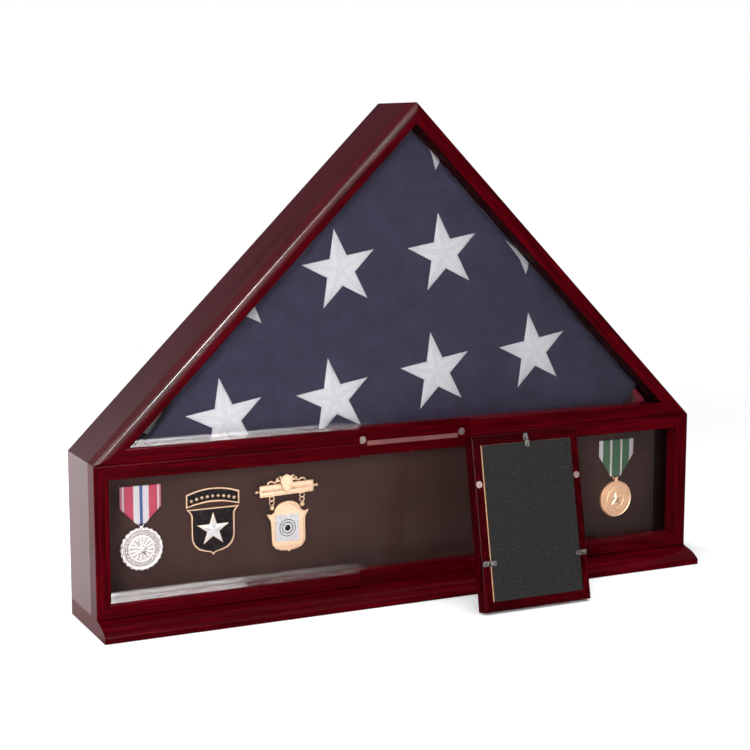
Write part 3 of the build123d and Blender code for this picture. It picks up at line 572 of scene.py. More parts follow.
steel = metal("plated_steel", srgb(70, 67, 66), srgb(136, 132, 130), 0.28)
nickel = metal("magnet_nickel", srgb(108, 92, 90), srgb(146, 128, 126), 0.38)
brassed = metal("brassed_steel", srgb(176, 140, 78), srgb(222, 190, 120), 0.3)
gilt = metal("gilt", srgb(200, 162, 132), srgb(226, 194, 168), 0.46)
silver = metal("struck_silver", srgb(168, 160, 162), srgb(206, 197, 198), 0.44)
bronze = metal("struck_bronze", srgb(232, 176, 136), srgb(255, 214, 182), 0.48)
dress(steel, "case_button_screws", "picture_button_screws", "picture_turn_button_top",
      "picture_turn_button_left", "picture_turn_button_right")
dress(nickel, "rail_magnets", "picture_magnets")
brass_buttons = [n for n in nodes if n.endswith(("_button", "_button_low", "_button_high"))]
dress(brassed, *brass_buttons)
dress(gilt, "medal_brooches", "shield_badge_trim", "marksman_bar", "marksman_rings", "marksman_pendant")
dress(silver, "service_medal_disc", "service_medal_ring")
dress(bronze, "bronze_medal_disc", "bronze_medal_ring")


def enamel(name, colour):
    """Fired glass enamel: smooth, deep and a little uneven."""
    material, tree, shader = finish_start(name, Roughness=0.16)
    cloud = stretched_noise(tree, ALONG_X, (250, 250, 250), 2.0)
    dull = tuple(0.8 * c for c in colour[:3]) + (1,)
    tree.links.new(ramp(tree, cloud, [(0.3, dull), (0.7, colour)]), shader.inputs["Base Color"])
    bump(tree, shader, cloud, 0.00006, 0.5)
    return material


black_enamel = enamel("black_enamel", srgb(38, 30, 32))
white_enamel = enamel("white_enamel", srgb(240, 236, 240))
dress(black_enamel, "shield_badge")
dress(white_enamel, "marksman_target")


# %% [markdown]
# ## The folded flag
# The flag was folded into a tight triangular packet, many layers deep, and it fills the
# gable. What shows is its last flap, navy cloth with embroidered stars, a little puffed,
# with a rolled edge all round. The packet is built as rings: one rounded triangle is
# copied at many depths and insets, from the middle of the back, round the side where the
# edges of the layers make grooves, over the rolled front edge and in to the middle of the
# front. Near the two lower corners the last flap stops short, and the layer behind shows
# a white and a red stripe.

# %% The packet's outline
flag_low, flag_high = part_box("folded_flag")
CORNER = 0.004
cad_corner = 0.008
flag_peak = flag_high.z + cad_corner * (math.sqrt(2) - 1)
flag_foot = flag_low.z
flag_half = flag_peak - flag_foot
flag_middle = Vector((0, flag_foot + flag_half * (math.sqrt(2) - 1)))
in_radius = flag_middle.y - flag_foot
ROLL = 0.007


def rounded_outline(corners, radius, spacing):
    """Points round a polygon given anticlockwise, with arcs at its corners and even spacing between."""
    outline = []
    for i, corner in enumerate(corners):
        before, after = corners[i - 1], corners[(i + 1) % len(corners)]
        come, leave = (corner - before).normalized(), (after - corner).normalized()
        turn = come.angle(leave)
        cut = radius * math.tan(turn / 2)
        middle = corner - come * cut + Vector((-come.y, come.x)) * radius
        start = math.atan2(-come.x, come.y)
        steps = max(3, round(turn * radius / spacing))
        for k in range(steps + 1):
            angle = start + turn * k / steps
            outline.append(middle + Vector((math.cos(angle), math.sin(angle))) * radius)
        next_turn = leave.angle((corners[(i + 2) % len(corners)] - after).normalized())
        straight_end = after - leave * radius * math.tan(next_turn / 2)
        here = outline[-1]
        count = max(1, round((straight_end - here).length / spacing))
        outline += [here.lerp(straight_end, k / count) for k in range(1, count)]
    return outline


def hump(value, low, high):
    """A smooth hump that rises from 0 at low to 1 in the middle and falls to 0 at high."""
    share = (value - low) / (high - low)
    return math.sin(math.pi * share) ** 0.7 if 0 < share < 1 else 0.0


def flap_bite(x, z):
    """How far the last flap stops short of the packet's edge near the lower left corner."""
    return 0.0185 * hump(z, 0.160, 0.228) if x < 0 else 0.0


def flap_end(z, inset):
    """How far across the flap may reach near the right corner, where it was tucked in askew."""
    return 0.2848 - 0.72 * (0.1958 - z) - 1.23 * inset


def flap_relief(x, z):
    """Soft puffing and creasing of the last flap, in metres towards the glass."""
    puff = 0.0009 * noise.noise(Vector((7 * x, 7 * z, 1.7)))
    drag = 0.0005 * noise.noise(Vector((26 * (x + z), 9 * (x - z), 4.1)))
    crumple = 0.00022 * noise.noise(Vector((70 * x, 70 * z, 9.3)))
    foot_gather = 0.0006 * math.sin(95 * x + 3 * math.sin(17 * x)) * max(0, 1 - (z - flag_foot) / 0.03)
    return puff + drag + crumple + foot_gather


def inset_of(x, z):
    """Distance from a place on the last flap to its nearest edge."""
    slope = (flag_peak - z - abs(x)) * math.sqrt(0.5) - flap_bite(x, z)
    return min(slope, z - flag_foot)


def flap_front(x, z):
    """Depth of the last flap's surface at a place across the case."""
    inset = inset_of(x, z)
    rolled = ROLL - math.sqrt(max(0, ROLL ** 2 - max(0, ROLL - inset) ** 2))
    fade = min(1, max(0, inset) / 0.02)
    return flag_low.y + rolled - flap_relief(x, z) * fade


corners = [Vector((-flag_half, flag_foot)), Vector((flag_half, flag_foot)), Vector((0, flag_peak))]
outline = rounded_outline(corners, CORNER, 0.0035)
print(len(outline), "points round the packet, in-radius", round(in_radius * 1000, 1), "mm")

# %% [markdown]
# Cloth for a flag is a fine plain weave. Two sets of waves crossed at right angles make
# its threads as a bump, and a slow noise keeps the dye from looking like paint. The stars
# are sewn in satin stitch, whose threads lie side by side across each arm, so their waves
# run along the arm, read from a map laid on each star as it is made. The same map darkens
# the thread a little beside each arm's ridge and most at the notches: painted shade of the
# padded relief.

# %% Cloth
def woven(name, low, high, threads=2100.0, sheen=0.25):
    """Fine plain weave in two close tones of one dye."""
    material, tree, shader = finish_start(name, Roughness=0.85, Specular_IOR_Level=0.12, Sheen_Weight=sheen,
                                          Sheen_Roughness=0.4)
    place = node(tree, "TexCoord").outputs["Object"]
    axes = node(tree, "SeparateXYZ", Vector=place).outputs
    warp = calc(tree, "SINE", calc(tree, "MULTIPLY", axes["X"], threads * math.pi))
    weft = calc(tree, "SINE", calc(tree, "MULTIPLY", axes["Z"], threads * math.pi))
    dye = stretched_noise(tree, ALONG_X, (45, 45, 45), 5.0, 0.65)
    tree.links.new(ramp(tree, dye, [(0.3, low), (0.7, high)]), shader.inputs["Base Color"])
    bump(tree, shader, calc(tree, "ADD", warp, weft), 0.00005, 0.35)
    return material


def stitched(name, low, high):
    """Satin stitch: threads side by side, across the way that the piece's map runs, with painted shade beside
    each arm's ridge and at its notch.
    """
    material, tree, shader = finish_start(name, Roughness=0.6, Specular_IOR_Level=0.3, Sheen_Weight=0.3)
    along = node(tree, "SeparateXYZ", Vector=node(tree, "UVMap").outputs[0]).outputs["X"]
    jitter = stretched_noise(tree, ALONG_X, (420, 420, 420), 3.0)
    phase = calc(tree, "MULTIPLY_ADD", jitter, 4.0, calc(tree, "MULTIPLY", along, 190.0))
    threads = calc(tree, "MULTIPLY_ADD", calc(tree, "SINE", phase), 0.5, 0.5)
    tone = calc(tree, "ADD", calc(tree, "MULTIPLY", threads, 0.6), calc(tree, "MULTIPLY", jitter, 0.4))
    thread = ramp(tree, tone, [(0.25, low), (0.75, high)])
    across = node(tree, "SeparateXYZ", Vector=node(tree, "UVMap").outputs[0]).outputs["Y"]
    # Across each wedge the thread colour dips beside the ridge and most at the notch line: painted shade.
    arm_painted_shade = ramp(tree, across, [(0.0, (1, 1, 1, 1)), (0.10, (0.86, 0.86, 0.88, 1)), (0.35, (1, 1, 1, 1)),
                                 (0.85, (0.93, 0.93, 0.94, 1)), (1.0, (0.72, 0.72, 0.75, 1))])
    mixed = node(tree, "MixRGB", {"blend_type": "MULTIPLY"}, Fac=1.0, Color1=thread, Color2=arm_painted_shade)
    tree.links.new(mixed.outputs[0], shader.inputs["Base Color"])
    bump(tree, shader, tone, 0.0005, 0.8)
    return material


navy = woven("navy_cloth", (0.031, 0.026, 0.053, 1), (0.047, 0.040, 0.078, 1))
stripe_white = woven("white_stripe_cloth", srgb(214, 206, 210), srgb(240, 235, 238))
stripe_red = woven("red_stripe_cloth", srgb(196, 30, 66), srgb(222, 52, 88))
star_thread = stitched("star_thread", srgb(226, 221, 228), srgb(254, 251, 254))


# %% The packet
def packet_rings():
    """(inset, depth, share of the bite, relief) of each ring, from the back's middle to the front's."""
    back, front = flag_high.y, flag_low.y
    rings = [(in_radius * (1 - share), back, 0, 0) for share in (0.04, 0.3, 0.6, 0.85)]
    rings += [(0.004, back, 0, 0), (0.0012, back - 0.0012, 0, 0)]
    layers = 13
    side = back - 0.0016 - (front + 0.0135)
    for k in range(layers * 5 + 1):
        phase = k / 5
        groove = abs(math.cos(math.pi * phase)) ** 4
        rings.append((0.0004 + 0.0013 * groove, back - 0.0016 - side * phase / layers, 0, 0))
    rings += [(0.0012, front + 0.0122, 0, 0), (0.003, front + 0.0112, 0, 0), (0.006, front + 0.0106, 1, 0),
              (0.0035, front + 0.0098, 1, 0)]
    for k in range(9):
        angle = math.pi / 2 * k / 8
        rings.append((ROLL * (1 - math.cos(angle)), front + ROLL * (1 - math.sin(angle)), 1, k / 8))
    inset = ROLL
    while inset < in_radius - 0.004:
        inset += 0.0034
        rings.append((min(inset, in_radius - 0.002), front, 1, 1))
    return rings


def fold_packet():
    """The packet's closed mesh, its front relief, and the stripes that show at the lower corners."""
    rings = packet_rings()
    count = len(outline)
    points = []
    for inset, depth, bitten, relief in rings:
        for place in outline:
            across = flag_middle.lerp(place, 1 - inset / in_radius)
            bite = flap_bite(place.x, place.y) * bitten * max(0, 1 - inset / 0.05) ** 2
            across = across + Vector((-math.copysign(1, place.x), -1)) * math.sqrt(0.5) * bite
            if bitten:
                across.x = min(across.x, flap_end(across.y, inset))
            fade = min(1, inset / 0.02) * relief
            points.append((across.x, depth - flap_relief(across.x, across.y) * fade, across.y))
    faces, dyes = [], []
    flap_start = next(i for i, ring in enumerate(rings) if ring[2])
    for r in range(len(rings) - 1):
        for k in range(count):
            n = (k + 1) % count
            faces.append((r * count + k, r * count + n, (r + 1) * count + n, (r + 1) * count + k))
            x, z = outline[k]
            behind = flap_start - 12 <= r < flap_start
            white = behind and x < 0 and 0.186 < z < 0.214
            red = behind and x > 0 and z < 0.2 or behind and x > 0.27
            dyes.append(2 if red else 1 if white else 0)
    last = (len(rings) - 1) * count
    points += [(flag_middle.x, flag_high.y, flag_middle.y),
               (flag_middle.x, flap_front(flag_middle.x, flag_middle.y), flag_middle.y)]
    for k in range(count):
        n = (k + 1) % count
        faces.append((k, n, len(points) - 2))
        faces.append((last + n, last + k, len(points) - 1))
        dyes += [0, 0]
    packet = piece("flag_packet", points, faces, navy)
    packet.data.materials.append(stripe_white)
    packet.data.materials.append(stripe_red)
    for polygon, dye in zip(packet.data.polygons, dyes):
        polygon.material_index = dye
    return packet


flag_packet = fold_packet()
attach(flag_packet, "case")
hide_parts("folded_flag")
print("packet", len(flag_packet.data.polygons), "faces")

# %% [markdown]
# ## Embroidered stars
# Each star is a padded patch of satin stitch. It is made of ten wedges from its middle to
# a tip and a notch, each cut into a grid of small triangles that lies on the flap, rises
# in a ridge along every arm and drops to the cloth at its border. Where a star runs over
# the packet's edge, its wedges bend down with the flap.

# %% Stars
STAR_RADIUS = 0.0411
STAR_TURN = math.radians(9.7)
NOTCH_SHARE = 0.382
STAR_PLACES = [(0.0426, 0.3423), (-0.0715, 0.3293), (-0.1922, 0.1906), (-0.0785, 0.2026), (0.0349, 0.2225),
               (0.1488, 0.2370)]
WEDGE_CUTS = 12


def wedge(a, b, c, cuts):
    """Shares (of a, b and c) and triangles of one triangle cut into a grid."""
    shares, index = [], {}
    for i in range(cuts + 1):
        for j in range(cuts + 1 - i):
            index[i, j] = len(shares)
            shares.append(((cuts - i - j) / cuts, i / cuts, j / cuts))
    triangles = []
    for i in range(cuts):
        for j in range(cuts - i):
            triangles.append((index[i, j], index[i + 1, j], index[i, j + 1]))
            if j < cuts - i - 1:
                triangles.append((index[i + 1, j], index[i + 1, j + 1], index[i, j + 1]))
    places = [a * s + b * t + c * u for s, t, u in shares]
    return shares, places, triangles


def sewn_patch(name, wedges):
    """A closed stitched patch on the flap from (middle, tip, notch) wedges; it follows the flap's edge."""
    points, faces, along = [], [], []
    for middle, tip, notch in wedges:
        shares, places, triangles = wedge(middle, tip, notch, WEDGE_CUTS)
        base = len(points)
        for (s, t, u), place in zip(shares, places):
            puff = 0.00015 + 0.0006 * min(1, 5 * s) ** 0.5 + 0.0007 * (1 - u) * min(1, 5 * s)
            points.append((place.x, flap_front(place.x, place.y) - puff, place.y))
            along.append((s - t, u))
        under = len(points)
        for place in places:
            points.append((place.x, flap_front(place.x, place.y) + 0.0006, place.y))
            along.append((0, 0))
        for x, y, z in triangles:
            middle_place = (places[x] + places[y] + places[z]) / 3
            if inset_of(middle_place.x, middle_place.y) > 0.0002:
                faces.append((base + x, base + y, base + z))
                faces.append((under + z, under + y, under + x))
    patch = piece(name, points, faces, star_thread)
    uv = patch.data.uv_layers.new(name="UVMap")
    for loop in patch.data.loops:
        uv.data[loop.index].uv = along[loop.vertex_index]
    work = bmesh.new()
    work.from_mesh(patch.data)
    bmesh.ops.remove_doubles(work, verts=work.verts, dist=0.00002)
    rims = [e for e in work.edges if e.is_boundary]
    bmesh.ops.delete(work, geom=[v for v in work.verts if not v.link_faces], context="VERTS")
    close_rims(work, rims)
    bmesh.ops.recalc_face_normals(work, faces=work.faces)
    work.to_mesh(patch.data)
    work.free()
    return patch


def close_rims(work, rims):
    """Joins a patch's open upper and under borders by bridging them where they run as two loops."""
    live = [e for e in rims if e.is_valid and e.is_boundary]
    if live:
        try:
            bmesh.ops.bridge_loops(work, edges=live)
        except RuntimeError:
            bmesh.ops.holes_fill(work, edges=live)


def star_wedges(centre, radius, turn):
    """The ten wedges of a regular five-pointed star."""
    rim = [centre + Vector((math.cos(a), math.sin(a))) * (radius if i % 2 == 0 else radius * NOTCH_SHARE)
           for i in range(10) for a in [turn + math.pi / 2 + math.pi / 5 * i]]
    return [(centre, rim[i], rim[i - 1]) if i % 2 == 0 else (centre, rim[i - 1], rim[i]) for i in range(10)]


stars = []
for number, (x, z) in enumerate(STAR_PLACES, 1):
    stars.append(sewn_patch(f"star_{number}", star_wedges(Vector((x, z)), STAR_RADIUS, STAR_TURN)))


def tip_patch(name, *rim):
    """A star's tip that a fold lets show, as wedges from its middle to its rim."""
    rim = [Vector(p) for p in rim]
    middle = sum(rim, Vector((0, 0))) / len(rim)
    return sewn_patch(name, [(middle, rim[i], rim[i - 1]) for i in range(len(rim))])


# The rims of three tips that the folds let show, in metres across the case and up.
stars.append(tip_patch("star_tip_top", (0.0270, 0.4460), (0.0328, 0.4253), (0.0402, 0.4369),
                       (0.0372, 0.4440)))
stars.append(tip_patch("star_tip_right", (0.1128, 0.3545), (0.1312, 0.3330), (0.1386, 0.3174),
                       (0.1425, 0.3290), (0.1290, 0.3430)))
stars.append(tip_patch("star_tip_left", (-0.1549, 0.2814), (-0.1620, 0.2990), (-0.1710, 0.2890)))
for star in stars:
    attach(star, "case")
print(len(stars), "stars and tips")


# %% [markdown]
# ## Silk ribbons
# A medal hangs from a strip of ribbed silk, folded behind at its lower corners, so a
# five-sided drape shows. It is so small and so tightly pinned that a simulation would give
# the same shape, so it is built row by row: each row is as wide as the drape is at that
# height. The map on it runs across the ribbon from one selvedge to the other, which keeps
# the woven stripes straight where the folds cut them off. The ribs are waves along it.

# %% Ribbons
WHITE_SILK = srgb(232, 222, 226)
ROSE_SILK = srgb(208, 66, 96)
PALE_ROSE_SILK = srgb(222, 128, 150)
BLUE_SILK = srgb(70, 98, 158)
GREEN_SILK = srgb(72, 116, 82)
SERVICE_STRIPES = [(0, PALE_ROSE_SILK), (0.055, WHITE_SILK), (0.09, ROSE_SILK), (0.32, WHITE_SILK),
                   (0.467, BLUE_SILK), (0.54, WHITE_SILK), (0.69, ROSE_SILK), (0.90, WHITE_SILK),
                   (0.935, PALE_ROSE_SILK)]
BRONZE_STRIPES = [(0, WHITE_SILK), (0.105, GREEN_SILK), (0.31, WHITE_SILK), (0.37, GREEN_SILK),
                  (0.61, WHITE_SILK), (0.665, GREEN_SILK), (0.872, WHITE_SILK)]
RIB_PITCH = 0.0006


def ribbed_silk(name, stripes):
    """Woven stripes across, fine ribs along, and a silk sheen."""
    material, tree, shader = finish_start(name, Roughness=0.55, Specular_IOR_Level=0.3, Sheen_Weight=0.15,
                                          Sheen_Roughness=0.3)
    place = node(tree, "SeparateXYZ", Vector=node(tree, "UVMap").outputs[0]).outputs
    colour = ramp(tree, place["X"], stripes, "CONSTANT")
    ribs = calc(tree, "SINE", calc(tree, "MULTIPLY", place["Y"], 2 * math.pi / RIB_PITCH))
    fibres = stretched_noise(tree, ALONG_X, (900, 900, 900), 3.0)
    tone = calc(tree, "MULTIPLY_ADD", ribs, 0.05, calc(tree, "MULTIPLY_ADD", fibres, 0.22, 0.86))
    mixed = node(tree, "MixRGB", {"blend_type": "MULTIPLY"}, Fac=1.0, Color1=colour, Color2=tone)
    tree.links.new(mixed.outputs[0], shader.inputs["Base Color"])
    bump(tree, shader, ribs, 0.00008, 0.6)
    return material


def silk_drape(name, node_name, shoulder, tip, stripes):
    """A five-sided drape in its CAD piece's box: full width to the shoulder, then tapering to the tip."""
    low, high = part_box(node_name)
    middle_x, width, depth = (low.x + high.x) / 2, high.x - low.x, high.y - low.y
    rows, columns, thickness = 40, 28, 0.0019
    points, along = [], []
    for side in (0, 1):
        for i in range(rows + 1):
            z = high.z + (low.z - high.z) * i / rows
            share = min(1, max(0, (z - low.z) / (shoulder - low.z)))
            row_width = tip + (width - tip) * share
            for j in range(columns + 1):
                x = middle_x + row_width * (j / columns - 0.5)
                edge = abs(2 * j / columns - 1) ** 8
                wave = 0.00025 * noise.noise(Vector((60 * x, 3.3, 130 * z)))
                front = low.y + depth * 0.12 + wave + edge * thickness * 0.35
                points.append((x, front + side * (thickness - edge * thickness * 0.7), z))
                along.append(((x - middle_x) / width + 0.5, z))
    count = (rows + 1) * (columns + 1)
    faces, step = [], columns + 1
    for i in range(rows):
        for j in range(columns):
            a = i * step + j
            faces.append((a, a + step, a + step + 1, a + 1))
            faces.append((count + a, count + a + 1, count + a + step + 1, count + a + step))
    rim = list(range(columns + 1)) + [i * step + columns for i in range(1, rows + 1)]
    rim += [rows * step + j for j in range(columns - 1, -1, -1)] + [i * step for i in range(rows - 1, 0, -1)]
    for k, a in enumerate(rim):
        b = rim[(k + 1) % len(rim)]
        faces.append((a, b, count + b, count + a))
    drape = piece(name, points, faces, ribbed_silk(name + "_silk", stripes))
    uv = drape.data.uv_layers.new(name="UVMap")
    for loop in drape.data.loops:
        uv.data[loop.index].uv = along[loop.vertex_index]
    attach(drape, "case")
    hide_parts(node_name)
    return drape


BOARD_MIDDLE = 0.086175
service_drape = silk_drape("service_drape", "service_medal_ribbon", BOARD_MIDDLE + 0.0226, 0.0095,
                           SERVICE_STRIPES)
bronze_drape = silk_drape("bronze_drape", "bronze_medal_ribbon", BOARD_MIDDLE + 0.0272, 0.013,
                          BRONZE_STRIPES)

# %% [markdown]
# ## Setting out small parts
# Screws, beads, studs and wreath leaves repeat, so they are set out by Geometry Nodes: a
# path, points spaced evenly along it or kept where they are, and one shape on each point,
# turned so that its top faces a given way and its length follows the path. A second tree
# draws wire along a path, for rings and scrolls. Both end in plain geometry.

# %% Two small node trees
def tree_inputs(tree, *names_and_kinds):
    """The group's input node, after its sockets are made; geometry comes first."""
    tree.interface.new_socket("Path", in_out="INPUT", socket_type="NodeSocketGeometry")
    for name, kind in names_and_kinds:
        tree.interface.new_socket(name, in_out="INPUT", socket_type="NodeSocket" + kind)
    tree.interface.new_socket("Geometry", in_out="OUTPUT", socket_type="NodeSocketGeometry")
    return tree.nodes.new("NodeGroupInput").outputs


def step(tree, kind, *links, **values):
    """A geometry node; links are (socket, input) pairs, values are its settings."""
    made = tree.nodes.new(kind)
    for key, value in values.items():
        setattr(made, key, value)
    for socket, target in links:
        tree.links.new(socket, made.inputs[target])
    return made.outputs


def end_tree(tree, shape, finish):
    """Realize Instances, smooth shading, Set Material and the group's output."""
    real = step(tree, "GeometryNodeRealizeInstances", (shape, 0))
    smooth = step(tree, "GeometryNodeSetShadeSmooth", (real[0], 0))
    dressed = step(tree, "GeometryNodeSetMaterial", (smooth[0], "Geometry"), (finish, "Material"))
    step(tree, "NodeGroupOutput", (dressed[0], 0))


set_out = bpy.data.node_groups.new("set_out", "GeometryNodeTree")
given = tree_inputs(set_out, ("Shape", "Object"), ("Evenly", "Bool"), ("Count", "Int"), ("Facing", "Vector"),
                    ("Finish", "Material"))
curve = step(set_out, "GeometryNodeMeshToCurve", (given["Path"], 0))
even = step(set_out, "GeometryNodeResampleCurve", (curve[0], "Curve"), (given["Count"], "Count"))
places = step(set_out, "GeometryNodeSwitch", (given["Evenly"], "Switch"), (given["Path"], "False"),
              (even[0], "True"), input_type="GEOMETRY")
upright = step(set_out, "FunctionNodeAlignRotationToVector", (given["Facing"], "Vector"), axis="Z")
tangent = step(set_out, "GeometryNodeInputTangent")
turned = step(set_out, "FunctionNodeAlignRotationToVector", (upright[0], "Rotation"), (tangent[0], "Vector"),
              axis="X", pivot_axis="Z")
shape = step(set_out, "GeometryNodeObjectInfo", (given["Shape"], "Object"))
copies = step(set_out, "GeometryNodeInstanceOnPoints", (places[0], "Points"), (shape["Geometry"], "Instance"),
              (turned[0], "Rotation"))
end_tree(set_out, copies[0], given["Finish"])

draw_wire = bpy.data.node_groups.new("draw_wire", "GeometryNodeTree")
given = tree_inputs(draw_wire, ("Radius", "Float"), ("Sides", "Int"), ("Finish", "Material"))
curve = step(draw_wire, "GeometryNodeMeshToCurve", (given["Path"], 0))
profile = step(draw_wire, "GeometryNodeCurvePrimitiveCircle", (given["Radius"], "Radius"),
               (given["Sides"], "Resolution"))
wire = step(draw_wire, "GeometryNodeCurveToMesh", (curve[0], "Curve"), (profile[0], "Profile Curve"))
wire[0].node.inputs["Fill Caps"].default_value = True
end_tree(draw_wire, wire[0], given["Finish"])


def path_object(name, points, closed):
    """A mesh of edges only, which the trees read as a path."""
    mesh = bpy.data.meshes.new(name)
    edges = [(i, i + 1) for i in range(len(points) - 1)] + ([(len(points) - 1, 0)] if closed else [])
    mesh.from_pydata([tuple(p) for p in points], edges, [])
    obj = bpy.data.objects.new(name, mesh)
    scene.collection.objects.link(obj)
    return obj


def run_tree(obj, tree, **values):
    """Runs a tree on an object with its inputs set by name, and leaves a plain mesh."""
    modifier = obj.modifiers.new(tree.name, "NODES")
    modifier.node_group = tree
    for item in tree.interface.items_tree:
        if item.in_out == "INPUT" and item.name in values:
            modifier[item.identifier] = values[item.name]
    return settle(obj)


def repeat_shape(name, shape_mesh, points, finish, facing=(0, -1, 0), count=0, closed=False):
    """One shape at every point, or at `count` even places along the path through them."""
    pattern = bpy.data.objects.new(name + "_pattern", shape_mesh)
    scene.collection.objects.link(pattern)
    made = run_tree(path_object(name, points, closed), set_out, Shape=pattern, Evenly=count > 0, Count=count,
                    Facing=facing, Finish=finish)
    bpy.data.objects.remove(pattern)
    return made


def wire_piece(name, points, radius, finish, closed=False, sides=10):
    """Round wire along a path."""
    return run_tree(path_object(name, points, closed), draw_wire, Radius=radius, Sides=sides, Finish=finish)


def lathe(name, profile, steps=24):
    """A closed mesh turned about Z from (radius, height) pairs that start and end on the axis."""
    inner = profile[1:-1]
    points = [(0, 0, profile[0][1]), (0, 0, profile[-1][1])]
    points += [(r * math.cos(2 * math.pi * k / steps), r * math.sin(2 * math.pi * k / steps), h)
               for r, h in inner for k in range(steps)]
    faces = []
    for k in range(steps):
        n = (k + 1) % steps
        faces.append((0, 2 + k, 2 + n))
        last = 2 + (len(inner) - 1) * steps
        faces.append((1, last + n, last + k))
        for i in range(len(inner) - 1):
            a, b = 2 + i * steps, 2 + (i + 1) * steps
            faces.append((a + k, b + k, b + n, a + n))
    made = piece(name, points, faces)
    mesh = made.data
    bpy.data.objects.remove(made)
    return mesh


BEAD = lathe("bead", [(0, 0.0005), (0.0003, 0.00042), (0.00055, 0.0001), (0.00055, -0.0003),
                      (0, -0.0003)], 12)
STUD = lathe("stud", [(0, 0.0009), (0.0007, 0.00075), (0.0013, 0.0003), (0.0014, -0.0001),
                      (0, -0.0001)], 16)
print("trees:", set_out.name, draw_wire.name)


# %% [markdown]
# ## Cross-head screws
# Every turn button is held by a pan-head screw with a cross recess. One head is modelled
# as a grid of rings, pushed in where the cross is, with its shank below, and the tree puts
# it where each screw of the design stands, found from the loose parts of that piece.

# %% Screws
def screw_mesh(name, radius, height, shank, reach):
    """A pan-head screw about Z: domed head with a cross recess, underside at 0, shank down to -reach."""
    steps, arm = 48, radius * 0.16
    heights = []
    for share in (0.1, 0.2, 0.3, 0.42, 0.55, 0.62, 0.75, 0.88, 1.0):
        heights.append((radius * share, height * (1 - 0.45 * share ** 3)))
    points = [(0, 0, height * 0.35), (0, 0, -reach)]
    for r, h in heights:
        for k in range(steps):
            x, y = r * math.cos(2 * math.pi * k / steps), r * math.sin(2 * math.pi * k / steps)
            in_cross = min(abs(x), abs(y)) < arm and r < radius * 0.58
            points.append((x, y, height * 0.35 if in_cross else h))
    for r, h in ((radius, 0), (shank, 0), (shank, -reach)):
        points += [(r * math.cos(2 * math.pi * k / steps), r * math.sin(2 * math.pi * k / steps), h)
                   for k in range(steps)]
    rows, faces = len(heights) + 3, []
    for k in range(steps):
        n = (k + 1) % steps
        faces.append((0, 2 + k, 2 + n))
        faces.append((1, 2 + (rows - 1) * steps + n, 2 + (rows - 1) * steps + k))
        for i in range(rows - 1):
            a, b = 2 + i * steps, 2 + (i + 1) * steps
            faces.append((a + k, b + k, b + n, a + n))
    made = piece(name, points, faces, smooth=False)
    mesh = made.data
    bpy.data.objects.remove(made)
    return mesh


def loose_parts(node_name):
    """The vertices of each separate solid of a CAD piece."""
    work = bmesh.new()
    work.from_mesh(nodes[node_name].data)
    bmesh.ops.remove_doubles(work, verts=work.verts, dist=1e-6)
    seen, parts = set(), []
    for start in work.verts:
        if start not in seen:
            group, frontier = [], [start]
            seen.add(start)
            while frontier:
                vertex = frontier.pop()
                group.append(vertex.co.copy())
                for edge in vertex.link_edges:
                    other = edge.other_vert(vertex)
                    if other not in seen:
                        seen.add(other)
                        frontier.append(other)
            parts.append(group)
    work.free()
    return parts


def set_screws(name, node_name, facing, body, radius, height, shank):
    """Cross-head screws in place of a CAD piece's plain ones."""
    facing = Vector(facing).normalized()
    seats, reach = [], 0
    for part in loose_parts(node_name):
        middle = sum(part, Vector()) / len(part)
        top = max(p.dot(facing) for p in part)
        reach = top - min(p.dot(facing) for p in part) - height
        seats.append(middle + facing * (top - height - middle.dot(facing)))
    made = repeat_shape(name, screw_mesh(name + "_one", radius, height, shank, reach), seats, steel,
                        facing=tuple(facing))
    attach(made, body)
    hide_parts(node_name)
    print(name, len(seats), "screws")


set_screws("back_screws", "case_button_screws", (0, 1, 0), "case", 0.0032, 0.0016, 0.0015)
set_screws("picture_screws", "picture_button_screws", -picture_normal, "picture_frame", 0.0023, 0.0012, 0.001)

# %% [markdown]
# ## Struck medals
# A medal is pressed between two dies, so its face is one sheet of metal that rises and
# falls. Each face here is a grid in rings with its height worked out place by place: a
# raised rim, and inside it a plain device. It sits on the design's disc, and the parts
# that repeat round it, the leaves of the wreath, are set out by the tree.

# %% Medal faces
def struck_face(name, centre, radius, front, height, finish, rings=84, steps=220):
    """A closed relief disc facing -Y; height(x, z) gives its rise over the disc in metres."""
    points = [(centre[0], front - height(0, 0), centre[1])]
    for i in range(1, rings + 1):
        r = radius * i / rings
        for k in range(steps):
            x, z = r * math.cos(2 * math.pi * k / steps), r * math.sin(2 * math.pi * k / steps)
            points.append((centre[0] + x, front - height(x, z) * (i < rings), centre[1] + z))
    points += [(centre[0], front + 0.0003, centre[1])]
    faces = []
    for k in range(steps):
        n = (k + 1) % steps
        faces.append((0, 1 + k, 1 + n))
        for i in range(rings - 1):
            a, b = 1 + i * steps, 1 + (i + 1) * steps
            faces.append((a + k, b + k, b + n, a + n))
        last = 1 + (rings - 1) * steps
        faces.append((last + k, len(points) - 1, last + n))
    face = piece(name, points, faces, finish)
    rise = face.data.attributes.new("rise", "FLOAT_COLOR", "POINT")
    for vertex in face.data.vertices:
        share = min(1, max(0, (front - vertex.co.y) / 0.0006))
        rise.data[vertex.index].color = (share, share, share, 1)
    return face


def star_share(x, z, radius):
    """How deep a place lies inside a five-pointed star: 1 in the middle, 0 on its edge."""
    angle = math.atan2(x, z) % (2 * math.pi / 5)
    angle = min(angle, 2 * math.pi / 5 - angle)
    tip = Vector((radius, 0))
    notch = Vector((math.cos(math.pi / 5), math.sin(math.pi / 5))) * radius * NOTCH_SHARE
    side = notch - tip
    place = Vector((math.cos(angle), math.sin(angle))) * math.hypot(x, z)
    outward = Vector((-side.y, side.x)).normalized()
    outward = outward if outward.dot(tip) > 0 else -outward
    return 1 - place.dot(outward) / tip.dot(outward)


